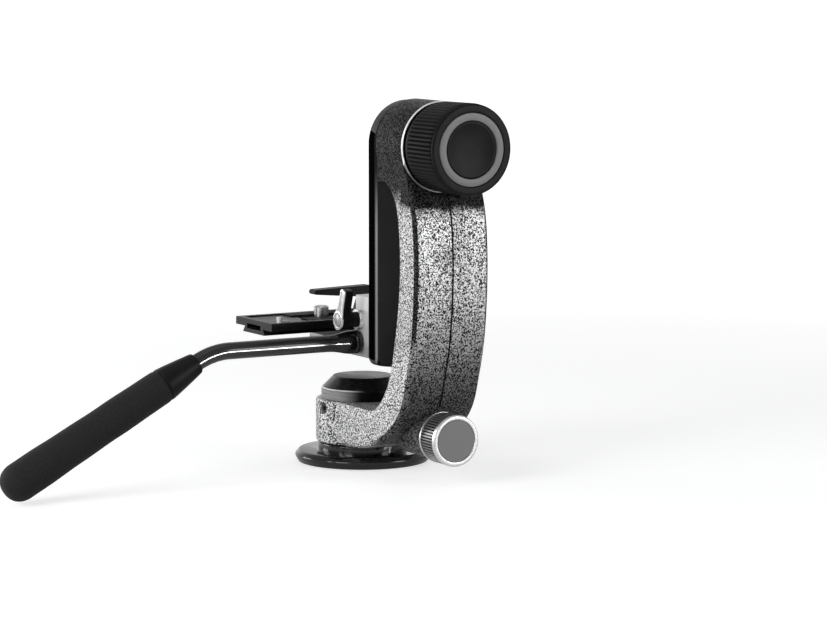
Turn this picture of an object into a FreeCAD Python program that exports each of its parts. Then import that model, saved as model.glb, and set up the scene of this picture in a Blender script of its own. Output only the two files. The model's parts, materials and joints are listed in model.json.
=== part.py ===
import FreeCAD, Part
import math
import os

# Gimbal tripod head with a side arm, in millimetres.
# Origin: pan axis at the underside of the base flange. +Z up.
# +X points from the pan axis towards the arm and its knobs, +Y is where the lens looks.
V = FreeCAD.Vector

# Clearances
fit = 0.05
gap = 0.3
slide_gap = 0.12

# Heights of the two main axes
tilt_z = 206.2
lock_z = 27.9

# Base flange and its neck
base_r = 43.3
base_top_r = 41.0
base_foot_r = 41.5
base_rim_z = 4.7
base_h = 7.4
neck_r = 28.5
neck_h = 5.3

# Tripod thread, 3/8 inch 16 to the inch
thread_r = 3.97
thread_depth = 14.0
insert_r = 6.5

# Pan spindle, its bearings and its brake drum
spindle_r = 10.0
spindle_flange_r = 17.0
spindle_flange_t = 4.0
spindle_tip_r = 6.0
spindle_tip_h = 8.4
spindle_screw_pcr = 13.4
spindle_screw_r = 1.6
spindle_screw_head_r = 2.6
race_in_t = 2.6
race_out_t = 3.4
race_w = 4.6
cage_gap = 0.35
housing_bore_r = 19.0
drum_t = 4.0
ring_nut_t = 2.2

# Pan housing
housing_r = 30.0
housing_h = 27.5
housing_floor = 1.4
housing_edge = 1.5

# Pan cap
cap_r = 26.5
cap_wall_h = 6.8
cap_top_r = 18.8
cap_top_h = 14.1
cap_cavity_r = 20.0
cap_cavity_h = 9.4
cap_spigot = 2.0

# Fluid drum under the pan cap
pan_drum_r = 16.0
pan_drum_h = 5.2
pan_cup_t = 2.8

# Arm
arm_half_w = 26.0
arm_edge_r = 1.6
arm_crown_r = 3.5
arm_foot_x = 15.0
seam_w = 1.0
seam_depth = 0.8
arm_outer = [(22.0, 13.0), (40.0, 14.4), (56.2, 17.8), (74.0, 25.6), (88.0, 35.8), (96.4, 46.6),
             (102.0, 61.5), (107.6, 81.0), (111.4, 107.0), (112.6, 132.0), (111.6, 154.0),
             (109.4, 167.5), (106.4, 177.0), (102.2, 186.0)]
arm_inner = [(72.0, 184.0), (80.5, 179.5), (86.6, 171.5), (91.0, 154.0), (92.0, 132.0),
             (89.6, 105.5), (84.6, 82.5), (78.2, 62.0), (68.9, 48.8), (56.0, 40.5)]

# Hub at the top of the arm
hub_r = 27.6
hub_x0 = 65.2
hub_x1 = 98.4
hub_bore_r = 22.0
hub_lip = 1.8
hub_edge = 0.9
hub_lip_r = 17.6
knob_relief_r = 30.2
tilt_race_w = 5.6
tilt_race_t = 3.7

# Tilt shaft
shaft_r = 9.0
shaft_flange_r = 16.0
shaft_flange_t = 4.0
shaft_end_x = 122.0
shaft_screw_pcr = 12.6
tilt_drum_r = 16.0

# Tilt knob
knob_x0 = 99.5
knob_len = 35.1
knob_r_back = 27.5
knob_r_front = 27.8
knob_rib_count = 68
knob_rib_depth = 0.8
knob_core_r = 26.2
knob_ring_r = 22.35
knob_disc_r = 17.4
knob_disc_sunk = 0.6
knob_wall = 3.2
lock_washer_r = 20.0
lock_washer_t = 0.7

# Pan lock knob
lock_knob_x0 = 100.4
lock_knob_len = 16.6
lock_knob_r = 15.9
lock_knob_flutes = 36
lock_flute_depth = 0.7
lock_rim_t = 2.4
lock_disc_r = 12.9
lock_collar_t = 1.4
lock_boss_r = 14.2
lock_boss_x1 = 98.7
lock_rod_r = 3.0
lock_shoe_t = 4.4
lock_shoe_half = 4.6

# Swing plate
plate_x0 = 53.5
plate_t = 11.2
swing_half_w = 26.5
swing_reach = 139.0
swing_corner_r = 5.5
swing_bevel = 1.8

# Height rail on the swing plate
rail_t = 8.0
rail_root_half = 13.0
rail_face_half = 17.0
rail_z0 = 69.5
rail_z1 = 178.0
rail_screw_r = 2.0
rail_screw_head_r = 3.6
rail_screw_count = 4
rail_stop_t = 3.0

# Carriage, the sliding bracket
carriage_x0 = 36.0
carriage_half = 25.5
carriage_z0 = 73.0
carriage_h = 38.0
carriage_corner_r = 1.5
platform_x0 = -24.0
platform_t = 8.0
web_r = 9.0

# Height lock lever
lever_x = 42.3
lever_z = 96.4
lever_reach = 17.6
lever_lean = 19.0
lever_eye_r = 5.9
lever_tip_r = 2.9
lever_depth = 9.8
lever_blade = 6.8
lever_neck = 2.8
lever_neck_r = 5.3
lever_collar_r = 6.2
lever_collar_t = 3.0
lever_rod_r = 2.0
wedge_half = 10.0

# Clamp bed, moving jaw and clamp lever
bed_half = 25.5
bed_x1 = 26.6
bed_split_x = -12.8
jaw_x0 = -26.4
jaw_travel = 1.8
clamp_lever_y = 15.0
clamp_rod_r = 1.9
clamp_rod_reach = 19.0
clamp_eye_r = 6.6
clamp_lever_t = 8.5
clamp_lever_rise = 21.0
clamp_lever_run = 38.5
clamp_lever_half = 3.9
clamp_lever_bend = 6.0
clamp_lever_tip_half = 1.6
bed_screw_r = 1.6
bed_screw_y = 20.5
bed_screw_head_r = 2.9

# Quick release plate
release_y0 = -78.0
release_len = 130.0
release_half = 24.25
release_flange_t = 4.9
release_z_top = 94.6
dovetail_h = 3.7
dovetail_root_half = 12.0
dovetail_foot_half = 14.5
dovetail_edge = 0.4
channel_half = 20.0
channel_depth = 0.8
pocket_w = 18.6
pocket_h = 3.2
pocket_depth = 12.0
slot_w = 10.0
slot_y0 = -46.0
slot_y1 = 36.0
slot_head_w = 16.6
slot_head_h = 3.0
pad_t = 1.0
stop_pin_r = 1.7
stop_pin_h = 3.6
stop_pin_inset = 2.3

# Lens screws on the quick release plate
screw_thread_r = 4.7
screw_stand = 6.2
screw_thread_len = 5.8
screw_waist_r = 4.0
screw_head_r = 7.6
screw_head_t = 2.6
screw_front_y = 22.0
screw_rear_y = -30.0

# Pan bar
bar_x = 40.6
bar_z = 82.2
bar_r = 5.25
bar_nut_r = 7.4
bar_nut_len = 5.2
bar_cone_len = 15.0
bar_cone_r = 7.4
bar_bend_y = -126.8
bar_drop_deg = 28.3
bar_bend_r = 46.0
bar_stud_r = 4.0
bar_stud_len = 14.0
bar_boss_r = 7.6
sleeve_start = 1.0
sleeve_len = 26.0
sleeve_r0 = 6.6
sleeve_r1 = 10.4
grip_len = 106.0
grip_r0 = 10.6
grip_r1 = 11.8
inner_tube_len = 118.0

# Values worked out from the sizes above
neck_z1 = base_h + neck_h
housing_z0 = neck_z1 + gap
housing_z1 = housing_z0 + housing_h
low_race_z = housing_z0 + housing_floor
top_race_z = housing_z1 - race_w - 2.2
drum_z0 = low_race_z + race_w + 0.6
drum_z1 = top_race_z - 0.6
spindle_z1 = housing_z1 + 0.4
carriage_z1 = carriage_z0 + carriage_h
platform_z1 = carriage_z0 + platform_t
release_z_flange = release_z_top - release_flange_t
release_z0 = release_z_flange - dovetail_h
release_y1 = release_y0 + release_len
bed_z1 = release_z0 - slide_gap
clamp_rod_z = platform_z1 + 2.3
knob_x1 = knob_x0 + knob_len
rail_x0 = plate_x0 - rail_t
bar_face_y = -carriage_half - gap


def cyl(r, start, length, axis="z", u=0.0, v=0.0):
    """Cylinder along an axis, with u and v as its place in the two other directions."""
    if axis == "x":
        return Part.makeCylinder(r, length, V(start, u, v), V(1, 0, 0))
    if axis == "y":
        return Part.makeCylinder(r, length, V(u, start, v), V(0, 1, 0))
    return Part.makeCylinder(r, length, V(u, v, start), V(0, 0, 1))


def ring(r_in, r_out, start, length, axis="z", u=0.0, v=0.0):
    outer = cyl(r_out, start, length, axis, u, v)
    return outer.cut(cyl(r_in, start - 1, length + 2, axis, u, v))


def block(x0, x1, y0, y1, z0, z1):
    return Part.makeBox(x1 - x0, y1 - y0, z1 - z0, V(x0, y0, z0))


def turned(points, axis_from, axis_dir):
    """Solid of revolution of a closed outline."""
    face = Part.Face(Part.makePolygon(points + [points[0]]))
    return face.revolve(axis_from, axis_dir, 360)


def turned_z(profile):
    points = [V(r, 0, z) for r, z in profile]
    return turned(points, V(0, 0, 0), V(0, 0, 1))


def turned_x(profile, z):
    points = [V(x, 0, z + r) for x, r in profile]
    return turned(points, V(0, 0, z), V(1, 0, 0))


def prism(points, direction):
    face = Part.Face(Part.makePolygon(points + [points[0]]))
    return face.extrude(direction)


def polar(count, radius, start=0.0):
    step = 2 * math.pi / count
    return [(radius * math.cos(start + i * step), radius * math.sin(start + i * step))
            for i in range(count)]


def join(first, *others):
    shape = first
    for other in others:
        shape = shape.fuse(other)
    return shape.removeSplitter()


def group(shapes):
    return Part.makeCompound(shapes)


def save(name, shape):
    shape.exportStep("parts/" + name + ".step")


def base_flange():
    disc = turned_z([(0, 0), (base_foot_r, 0), (base_r, base_rim_z - 1.2), (base_r, base_rim_z),
                     (base_top_r, base_h), (neck_r, base_h), (neck_r, neck_z1 - 0.8),
                     (neck_r - 0.8, neck_z1), (0, neck_z1)])
    recess = cyl(spindle_flange_r + fit, neck_z1 - spindle_flange_t, spindle_flange_t + 1)
    bore = cyl(spindle_r, -1, neck_z1)
    disc = disc.cut(recess).cut(bore)
    floor_z = neck_z1 - spindle_flange_t
    for x, y in polar(4, spindle_screw_pcr, math.pi / 4):
        disc = disc.cut(cyl(spindle_screw_r, 2.0, floor_z, "z", x, y))
    return disc


def pan_spindle():
    flange_z = neck_z1 - spindle_flange_t
    shaft = turned_z([(0, 0), (spindle_r, 0), (spindle_r, flange_z),
                      (spindle_flange_r, flange_z), (spindle_flange_r, neck_z1),
                      (spindle_r, neck_z1), (spindle_r, spindle_z1),
                      (spindle_tip_r, spindle_z1), (spindle_tip_r, spindle_z1 + spindle_tip_h),
                      (0, spindle_z1 + spindle_tip_h)])
    shaft = shaft.cut(cyl(insert_r, -1, thread_depth + 1))
    for x, y in polar(4, spindle_screw_pcr, math.pi / 4):
        shaft = shaft.cut(cyl(spindle_screw_r, flange_z - 1, spindle_flange_t + 2, "z", x, y))
        shaft = shaft.cut(cyl(spindle_screw_head_r, neck_z1 - 2.2, 4, "z", x, y))
    return shaft


def spindle_screws():
    screws = []
    for x, y in polar(4, spindle_screw_pcr, math.pi / 4):
        head = cyl(spindle_screw_head_r, neck_z1 - 2.2, 2.0, "z", x, y)
        shank = cyl(spindle_screw_r, 3.0, neck_z1 - 4.2, "z", x, y)
        screws.append(join(head, shank))
    return group(screws)


def thread_insert():
    return ring(thread_r, insert_r, 0, thread_depth)


def race_ring(r_in, r_out, start, width, axis="z", v=0.0):
    return ring(r_in, r_out, start, width, axis, 0.0, v)


def pan_inner_races():
    return group([race_ring(spindle_r, spindle_r + race_in_t, low_race_z, race_w),
                  race_ring(spindle_r, spindle_r + race_in_t, top_race_z, race_w)])


def pan_outer_races():
    r_in = housing_bore_r - race_out_t
    return group([race_ring(r_in, housing_bore_r, low_race_z, race_w),
                  race_ring(r_in, housing_bore_r, top_race_z, race_w)])


def pan_cages():
    r_in = spindle_r + race_in_t + cage_gap
    r_out = housing_bore_r - race_out_t - cage_gap
    return group([race_ring(r_in, r_out, z + 0.5, race_w - 1) for z in (low_race_z, top_race_z)])


def pan_brake_drum():
    return ring(spindle_r, spindle_r + drum_t, drum_z0, drum_z1 - drum_z0)


def spindle_nut():
    nut = ring(spindle_r, spindle_r + 3.2, top_race_z + race_w, ring_nut_t)
    for x, y in polar(4, spindle_r + 3.2):
        nut = nut.cut(cyl(1.1, top_race_z + race_w - 1, ring_nut_t + 2, "z", x, y))
    return nut


def pan_fluid_drum():
    z0 = spindle_z1 + spindle_tip_h - pan_drum_h - 0.6
    drum = ring(spindle_tip_r, pan_drum_r, z0, pan_drum_h)
    for step in (1.2, 3.0):
        drum = drum.cut(ring(pan_drum_r - 1.2, pan_drum_r + 1, z0 + step, 1.0))
    return drum


def pan_fluid_cup():
    z0 = housing_z1 + 1.4
    height = cap_cavity_h - 1.6
    return ring(cap_cavity_r - pan_cup_t, cap_cavity_r, z0, height)


def pan_cap():
    z = housing_z1
    cap = turned_z([(0, z), (cap_r, z), (cap_r, z + cap_wall_h - 0.5),
                    (cap_r - 0.5, z + cap_wall_h), (cap_top_r, z + cap_top_h), (0, z + cap_top_h)])
    spigot = cyl(housing_bore_r - fit, z - cap_spigot, cap_spigot + 1)
    cap = cap.fuse(spigot)
    cap = cap.cut(cyl(spindle_r + 5.2, z - cap_spigot - 1, cap_spigot + 3))
    return cap.cut(cyl(cap_cavity_r, z + 1.4, cap_cavity_h - 1.4)).removeSplitter()


def arm_curve(points, shift=0.0):
    curve = Part.BSplineCurve()
    curve.interpolate([V(x + shift, 0, z) for x, z in points])
    return curve.toShape()


def arm_slab(y0, y1, shift):
    """Slice of the arm between two widths, with its outer face moved by shift."""
    low = arm_outer[0]
    top = arm_outer[-1]
    inner_top = arm_inner[0]
    inner_low = arm_inner[-1]
    corners = [V(top[0] + shift, 0, top[1]), V(hub_x1 + shift, 0, tilt_z), V(hub_x0, 0, tilt_z),
               V(hub_x0, 0, inner_top[1]), V(inner_top[0], 0, inner_top[1])]
    foot = [V(inner_low[0], 0, inner_low[1]), V(arm_foot_x, 0, housing_z1),
            V(arm_foot_x, 0, housing_z0), V(low[0] + shift, 0, low[1])]
    edges = [arm_curve(arm_outer, shift), arm_curve(arm_inner)]
    edges += Part.makePolygon(corners).Edges
    edges += Part.makePolygon(foot).Edges
    face = Part.Face(Part.Wire(Part.__sortEdges__(edges)))
    face.translate(V(0, y0, 0))
    return face.extrude(V(0, y1 - y0, 0))


def arm_body():
    full = arm_slab(-arm_half_w, arm_half_w, 0.0)
    rims = [edge for edge in full.Edges
            if edge.BoundBox.YLength < 0.01 and edge.Curve.TypeId == "Part::GeomBSplineCurve"]
    crown_x = max(x for x, z in arm_inner) + 1
    full = full.makeFillet(arm_crown_r, [edge for edge in rims if edge.BoundBox.XMax > crown_x])
    rims = [edge for edge in full.Edges
            if edge.BoundBox.YLength < 0.01 and edge.Curve.TypeId == "Part::GeomBSplineCurve"
            and edge.BoundBox.XMax < crown_x and abs(edge.BoundBox.YMax) > arm_half_w - 0.01]
    full = full.makeFillet(arm_edge_r, rims)
    seam = arm_slab(-seam_w / 2, seam_w / 2, 0.0).cut(arm_slab(-seam_w, seam_w, -seam_depth))
    keep = block(lock_boss_x1 - 14, 200, -seam_w, seam_w, lock_z + lock_boss_r, tilt_z - hub_r)
    relief = cyl(knob_relief_r, hub_x1, 40, "x", 0, tilt_z)
    return full.cut(seam.common(keep)).cut(relief)


def yoke_arm():
    housing = cyl(housing_r, housing_z0, housing_h)
    housing = housing.makeFillet(housing_edge, [housing.Edges[0], housing.Edges[2]])
    hub = cyl(hub_r, hub_x0, hub_x1 - hub_x0, "x", 0, tilt_z)
    hub = hub.makeChamfer(hub_edge, [hub.Edges[0], hub.Edges[2]])
    boss = cyl(lock_boss_r, 66, lock_boss_x1 - 66, "x", 0, lock_z)
    body = join(arm_body(), housing, hub, boss)
    floor_z = housing_z0 + housing_floor
    body = body.cut(cyl(housing_bore_r, floor_z, housing_h))
    body = body.cut(cyl(housing_bore_r - 1.6, housing_z0 - 1, housing_h))
    body = body.cut(cyl(hub_bore_r, hub_x0 + hub_lip, hub_x1, "x", 0, tilt_z))
    body = body.cut(cyl(hub_lip_r, hub_x0 - 1, hub_lip + 2, "x", 0, tilt_z))
    body = body.cut(cyl(lock_rod_r + 0.4, housing_bore_r - 2, lock_boss_x1, "x", 0, lock_z))
    shoe_room = lock_shoe_half + 0.2
    reach = housing_bore_r + 1.6
    body = body.cut(block(0, reach, -shoe_room, shoe_room, lock_z - shoe_room, lock_z + shoe_room))
    return body.cut(side_screw_recess())


def side_screw_place():
    angle = math.radians(-86)
    return V(housing_r * math.cos(angle), housing_r * math.sin(angle), 35.6), angle


def side_screw_recess():
    place, angle = side_screw_place()
    outward = V(math.cos(angle), math.sin(angle), 0)
    start = place - outward * 3.2
    return Part.makeCylinder(3.9, 6, start, outward)


def side_screw():
    place, angle = side_screw_place()
    outward = V(math.cos(angle), math.sin(angle), 0)
    screw = Part.makeCylinder(3.3, 2.2, place - outward * 3.2, outward)
    socket = Part.makeCylinder(1.5, 3, place - outward * 2.2, outward)
    return screw.cut(socket)


def pan_lock_shoe():
    half = lock_shoe_half
    inner = spindle_r + drum_t + fit
    shoe = block(inner - 2, inner + lock_shoe_t, -half, half, lock_z - half, lock_z + half)
    return shoe.cut(cyl(inner, lock_z - 20, 40))


def fluted(count, r_a, r_b, depth, x0, x1, z):
    """Ribbed drum along X that tapers from r_a at x0 to r_b at x1."""
    wires = []
    for x, r in ((x0, r_a), (x1, r_b)):
        points = []
        step = 2 * math.pi / count
        for i in range(count):
            for part, radius in ((0.0, r - depth), (0.22, r), (0.72, r), (0.94, r - depth)):
                angle = (i + part) * step
                points.append(V(x, radius * math.cos(angle), z + radius * math.sin(angle)))
        wires.append(Part.makePolygon(points + [points[0]]))
    return Part.makeLoft(wires, True, True)


def pan_lock_knob():
    x1 = lock_knob_x0 + lock_knob_len - lock_rim_t
    grip = fluted(lock_knob_flutes, lock_knob_r - 0.2, lock_knob_r - 0.2, lock_flute_depth,
                  lock_knob_x0, x1, lock_z)
    x2 = x1 + lock_rim_t
    rim = turned_x([(x1, 0), (x1, lock_knob_r), (x2 - 0.7, lock_knob_r), (x2, lock_knob_r - 0.8),
                    (x2, 0)], lock_z)
    knob = grip.fuse(rim)
    knob = knob.cut(cyl(lock_disc_r, x2 - 0.9, 2, "x", 0, lock_z))
    return knob.cut(cyl(lock_rod_r, lock_knob_x0 - 1, 11, "x", 0, lock_z))


def pan_lock_disc():
    x2 = lock_knob_x0 + lock_knob_len
    return cyl(lock_disc_r - fit, x2 - 0.9, 0.7, "x", 0, lock_z)


def pan_lock_rod():
    x0 = spindle_r + drum_t + fit + lock_shoe_t + 0.1
    return cyl(lock_rod_r, x0, lock_knob_x0 + 10 - x0, "x", 0, lock_z)


def pan_lock_collar():
    return ring(lock_rod_r + 0.4, lock_knob_r - 0.1, lock_boss_x1, lock_collar_t, "x", 0, lock_z)


def tilt_shaft():
    x1 = plate_x0 + shaft_flange_t
    shaft = turned_x([(plate_x0, 0), (plate_x0, shaft_flange_r), (x1, shaft_flange_r),
                      (x1, shaft_r), (shaft_end_x - 1, shaft_r), (shaft_end_x, shaft_r - 1),
                      (shaft_end_x, 0)], tilt_z)
    for y, z in polar(4, shaft_screw_pcr, math.pi / 4):
        shaft = shaft.cut(cyl(spindle_screw_r, plate_x0 - 1, 8, "x", y, tilt_z + z))
        shaft = shaft.cut(cyl(spindle_screw_head_r, plate_x0 - 1, 2.8, "x", y, tilt_z + z))
    return shaft


def shaft_screws():
    screws = []
    for y, z in polar(4, shaft_screw_pcr, math.pi / 4):
        head = cyl(spindle_screw_head_r, plate_x0, 1.8, "x", y, tilt_z + z)
        shank = cyl(spindle_screw_r, plate_x0 + 1, 7.6, "x", y, tilt_z + z)
        screws.append(join(head, shank))
    return group(screws)


def tilt_race_starts():
    first = hub_x0 + hub_lip
    return [first, hub_x1 - 2.4 - tilt_race_w]


def tilt_inner_races():
    return group([race_ring(shaft_r, shaft_r + tilt_race_t, x, tilt_race_w, "x", tilt_z)
                  for x in tilt_race_starts()])


def tilt_outer_races():
    return group([race_ring(hub_bore_r - tilt_race_t, hub_bore_r, x, tilt_race_w, "x", tilt_z)
                  for x in tilt_race_starts()])


def tilt_cages():
    r_in = shaft_r + tilt_race_t + cage_gap
    r_out = hub_bore_r - tilt_race_t - cage_gap
    return group([race_ring(r_in, r_out, x + 0.5, tilt_race_w - 1, "x", tilt_z)
                  for x in tilt_race_starts()])


def tilt_drum_span():
    first, last = tilt_race_starts()
    return first + tilt_race_w + 1.0, last - 1.0


def tilt_fluid_drum():
    x0, x1 = tilt_drum_span()
    drum = ring(shaft_r, tilt_drum_r, x0, x1 - x0, "x", 0, tilt_z)
    for i in range(3):
        start = x0 + 2.0 + 3.6 * i
        drum = drum.cut(ring(tilt_drum_r - 1.2, tilt_drum_r + 1, start, 1.8, "x", 0, tilt_z))
    return drum


def tilt_fluid_cup():
    x0, x1 = tilt_drum_span()
    return ring(tilt_drum_r + gap, hub_bore_r, x0, x1 - x0, "x", 0, tilt_z)


def hub_cover():
    return ring(shaft_r + 0.6, hub_bore_r, hub_x1 - 2.2, 2.2, "x", 0, tilt_z)


def tilt_lock_washer():
    return ring(shaft_r, lock_washer_r, hub_x1 + 0.1, lock_washer_t, "x", 0, tilt_z)


def tilt_knob_core():
    front = knob_x1
    bore_r = shaft_r + fit
    return turned_x([(knob_x0, bore_r), (knob_x0, knob_core_r), (front - 1.8, knob_core_r),
                     (front - 1.8, knob_r_front - 0.4), (front - 0.9, knob_r_front - 0.4),
                     (front - 0.2, knob_r_front - 1.1), (front - 0.2, knob_ring_r),
                     (front - 1.6, knob_ring_r), (front - 1.6, knob_disc_r),
                     (front - knob_wall, knob_disc_r), (front - knob_wall, bore_r)], tilt_z)


def tilt_knob_rubber():
    x0 = knob_x0 + gap
    x1 = knob_x1 - 2.0
    skirt = fluted(knob_rib_count, knob_r_back, knob_r_front, knob_rib_depth, x0, x1, tilt_z)
    return skirt.cut(cyl(knob_core_r, x0 - 1, knob_len + 2, "x", 0, tilt_z))


def tilt_knob_ring():
    front = knob_x1
    return turned_x([(front - 1.6, knob_disc_r), (front - 1.6, knob_ring_r - fit),
                     (front - 0.3, knob_ring_r - fit), (front, knob_ring_r - 0.4),
                     (front, knob_disc_r + 0.3), (front - 0.3, knob_disc_r)], tilt_z)


def tilt_knob_disc():
    front = knob_x1 - knob_disc_sunk
    back = knob_x1 - knob_wall
    return cyl(knob_disc_r - fit, back, front - back, "x", 0, tilt_z)


def swing_plate():
    top_z = tilt_z
    half = swing_half_w
    low_side = tilt_z - math.sqrt(swing_reach ** 2 - half ** 2)
    low_mid = tilt_z - swing_reach
    x = plate_x0
    left_low = V(x, -half, low_side)
    right_low = V(x, half, low_side)
    edges = [Part.makeLine(left_low, V(x, -half, top_z)),
             Part.Arc(V(x, -half, top_z), V(x, 0, top_z + half), V(x, half, top_z)).toShape(),
             Part.makeLine(V(x, half, top_z), right_low),
             Part.Arc(right_low, V(x, 0, low_mid), left_low).toShape()]
    body = Part.Face(Part.Wire(edges)).extrude(V(plate_t, 0, 0))
    corners = [e for e in body.Edges
               if e.BoundBox.XLength > plate_t - 0.1 and e.BoundBox.ZMax < top_z - 50]
    body = body.makeFillet(swing_corner_r, corners)
    rims = [e for e in body.Edges if e.BoundBox.XLength < 0.01]
    body = body.makeChamfer(swing_bevel, rims)
    body = body.cut(cyl(shaft_r, x - 1, plate_t + 2, "x", 0, tilt_z))
    body = body.cut(cyl(shaft_flange_r, x - 1, shaft_flange_t + 1, "x", 0, tilt_z))
    for y, z in polar(4, shaft_screw_pcr, math.pi / 4):
        body = body.cut(cyl(spindle_screw_r, x, plate_t - 2, "x", y, tilt_z + z))
    for z in rail_screw_heights():
        body = body.cut(cyl(rail_screw_r, x - 1, plate_t - 1, "x", 0, z))
    return body


def rail_screw_heights():
    first = rail_z0 + 14
    last = rail_z1 - 14
    step = (last - first) / (rail_screw_count - 1)
    return [first + i * step for i in range(rail_screw_count)]


def rail_outline(clear, z):
    root = rail_root_half + clear
    face = rail_face_half + clear
    x0 = rail_x0 - clear
    return [V(plate_x0, -root, z), V(x0, -face, z), V(x0, face, z), V(plate_x0, root, z)]


def height_rail():
    rail = prism(rail_outline(0.0, rail_z0), V(0, 0, rail_z1 - rail_z0))
    for z in rail_screw_heights():
        rail = rail.cut(cyl(rail_screw_r, rail_x0 - 1, rail_t + 2, "x", 0, z))
        rail = rail.cut(cyl(rail_screw_head_r, rail_x0 - 1, 4.6, "x", 0, z))
    return rail


def rail_screws():
    screws = []
    for z in rail_screw_heights():
        head = cyl(rail_screw_head_r - fit, rail_x0 + 0.5, 3.1, "x", 0, z)
        head = head.cut(cyl(1.5, rail_x0, 2, "x", 0, z))
        shank = cyl(rail_screw_r, rail_x0 + 2.5, plate_x0 + plate_t - 3 - rail_x0 - 2.5, "x", 0, z)
        screws.append(join(head, shank))
    return group(screws)


def rail_stop():
    half = rail_root_half - 2
    return block(rail_x0, plate_x0, -half, half, rail_z1, rail_z1 + rail_stop_t)


def carriage():
    x0 = carriage_x0
    x1 = plate_x0 - gap
    z0 = carriage_z0
    half = carriage_half
    outline = [(platform_x0, z0), (x1, z0), (x1, carriage_z1), (x0, carriage_z1),
               (x0, platform_z1 + web_r), (x0 - web_r, platform_z1), (platform_x0, platform_z1)]
    points = [V(x, -half, z) for x, z in outline]
    body = prism(points, V(0, 2 * half, 0))
    upright = [e for e in body.Edges
               if e.BoundBox.ZLength > 10 and e.BoundBox.XLength < 0.01
               and abs(e.BoundBox.XMin - x0) < 0.01 and e.BoundBox.YLength < 0.01]
    body = body.makeFillet(carriage_corner_r, upright)
    boss = cyl(bar_boss_r, -half, half - 6, "y", bar_x, bar_z)
    body = join(body, boss)
    body = body.cut(cyl(bar_stud_r, -half - 1, bar_stud_len + 2, "y", bar_x, bar_z))
    channel = [V(p.x + (0.5 if p.x > rail_x0 + 1 else 0), p.y, p.z)
               for p in rail_outline(slide_gap, z0 - 1)]
    body = body.cut(prism(channel, V(0, 0, carriage_h + 2)))
    rod_len = half + wedge_half + 0.5
    body = body.cut(cyl(lever_rod_r + 0.1, -half - 1, rod_len, "y", lever_x, lever_z))
    pocket_half = wedge_half + 0.3
    body = body.cut(block(lever_x - 2.6, rail_x0 + 0.5, -pocket_half, pocket_half,
                          lever_z - 5.3, lever_z + 5.3))
    for x, y in bed_screw_places():
        body = body.cut(cyl(bed_screw_r, z0 - 1, platform_t + 2, "z", x, y))
        body = body.cut(cyl(bed_screw_head_r + fit, z0 - 1, 4.2, "z", x, y))
    return body


def lock_wedge():
    x0 = lever_x - 2.2
    wedge = block(x0, rail_x0 - slide_gap - 0.02, -wedge_half, wedge_half,
                  lever_z - 5, lever_z + 5)
    return wedge.cut(cyl(lever_rod_r + 0.1, -wedge_half - 1, wedge_half * 2 + 2, "y",
                         lever_x, lever_z))


def lever_direction():
    angle = math.radians(lever_lean)
    return V(math.sin(angle), 0, math.cos(angle))


def height_lever():
    y1 = -carriage_half - lever_collar_t - gap - lever_neck
    y0 = y1 - lever_depth
    neck = cyl(lever_neck_r, y1 - 1, lever_neck + 1, "y", lever_x, lever_z)
    centre = V(lever_x, y0, lever_z)
    along = lever_direction()
    side = V(along.z, 0, -along.x)
    tip = centre + along * (lever_reach + lever_tip_r)
    eye = cyl(lever_eye_r, y0, lever_depth, "y", lever_x, lever_z)
    root = lever_eye_r * 0.86
    blade = prism([centre + side * root, tip + side * lever_tip_r, tip - side * lever_tip_r,
                   centre - side * root], V(0, lever_blade, 0))
    tips = [e for e in blade.Edges
            if e.BoundBox.YLength > lever_blade - 0.1 and e.BoundBox.ZMin > tip.z - lever_tip_r]
    blade = blade.makeFillet(lever_tip_r * 0.45, tips)
    lever = join(eye, blade, neck)
    lever = lever.cut(cyl(4.3, y0 - 1, 1.8, "y", lever_x, lever_z))
    return lever.cut(cyl(lever_rod_r, y0, lever_depth + lever_neck + 1, "y",
                         lever_x, lever_z))


def lever_rod():
    y0 = -carriage_half - lever_collar_t - gap - lever_neck - lever_depth
    head = cyl(4.3 - fit, y0 + 0.1, 0.7, "y", lever_x, lever_z)
    length = wedge_half - 1.0 - y0 - 0.5
    rod = cyl(lever_rod_r, y0 + 0.5, length, "y", lever_x, lever_z)
    return join(head, rod)


def lever_collar():
    return ring(lever_rod_r + 0.2, lever_collar_r, -carriage_half - lever_collar_t,
                lever_collar_t, "y", lever_x, lever_z)


def bed_screw_places():
    return [(x, y) for x in (-7.0, 21.0) for y in (-bed_screw_y, bed_screw_y)]


def flank(side, clear):
    """Clamp outline that follows the plate's dovetail, from the bed up to the lip."""
    foot = dovetail_foot_half + clear
    foot_z = release_z0 + dovetail_edge
    lip_z = release_z_flange - gap
    share = (lip_z - foot_z) / (release_z_flange - foot_z)
    upper = foot - (dovetail_foot_half - dovetail_root_half) * share
    return [V(side * foot, -bed_half, bed_z1), V(side * foot, -bed_half, foot_z),
            V(side * upper, -bed_half, lip_z)]


def clamp_bed():
    z0 = platform_z1
    low, knee, high = flank(1, slide_gap)
    outline = [V(bed_split_x, -bed_half, z0), V(bed_x1, -bed_half, z0),
               V(bed_x1, -bed_half, high.z), high, knee, low, V(bed_split_x, -bed_half, bed_z1)]
    bed = prism(outline, V(0, 2 * bed_half, 0))
    bed = bed.cut(cyl(clamp_rod_r + 0.1, bed_split_x - 1, clamp_rod_reach + 3, "x",
                      clamp_lever_y, clamp_rod_z))
    for x, y in bed_screw_places():
        bed = bed.cut(cyl(bed_screw_r, z0 - 1, 4.4, "z", x, y))
    return bed


def bed_screws():
    screws = []
    for x, y in bed_screw_places():
        head = cyl(bed_screw_head_r, carriage_z0 + 0.4, 2.6, "z", x, y)
        head = head.cut(cyl(1.2, carriage_z0, 1.8, "z", x, y))
        shank = cyl(bed_screw_r, carriage_z0 + 2, platform_t + 1, "z", x, y)
        screws.append(join(head, shank))
    return group(screws)


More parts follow.
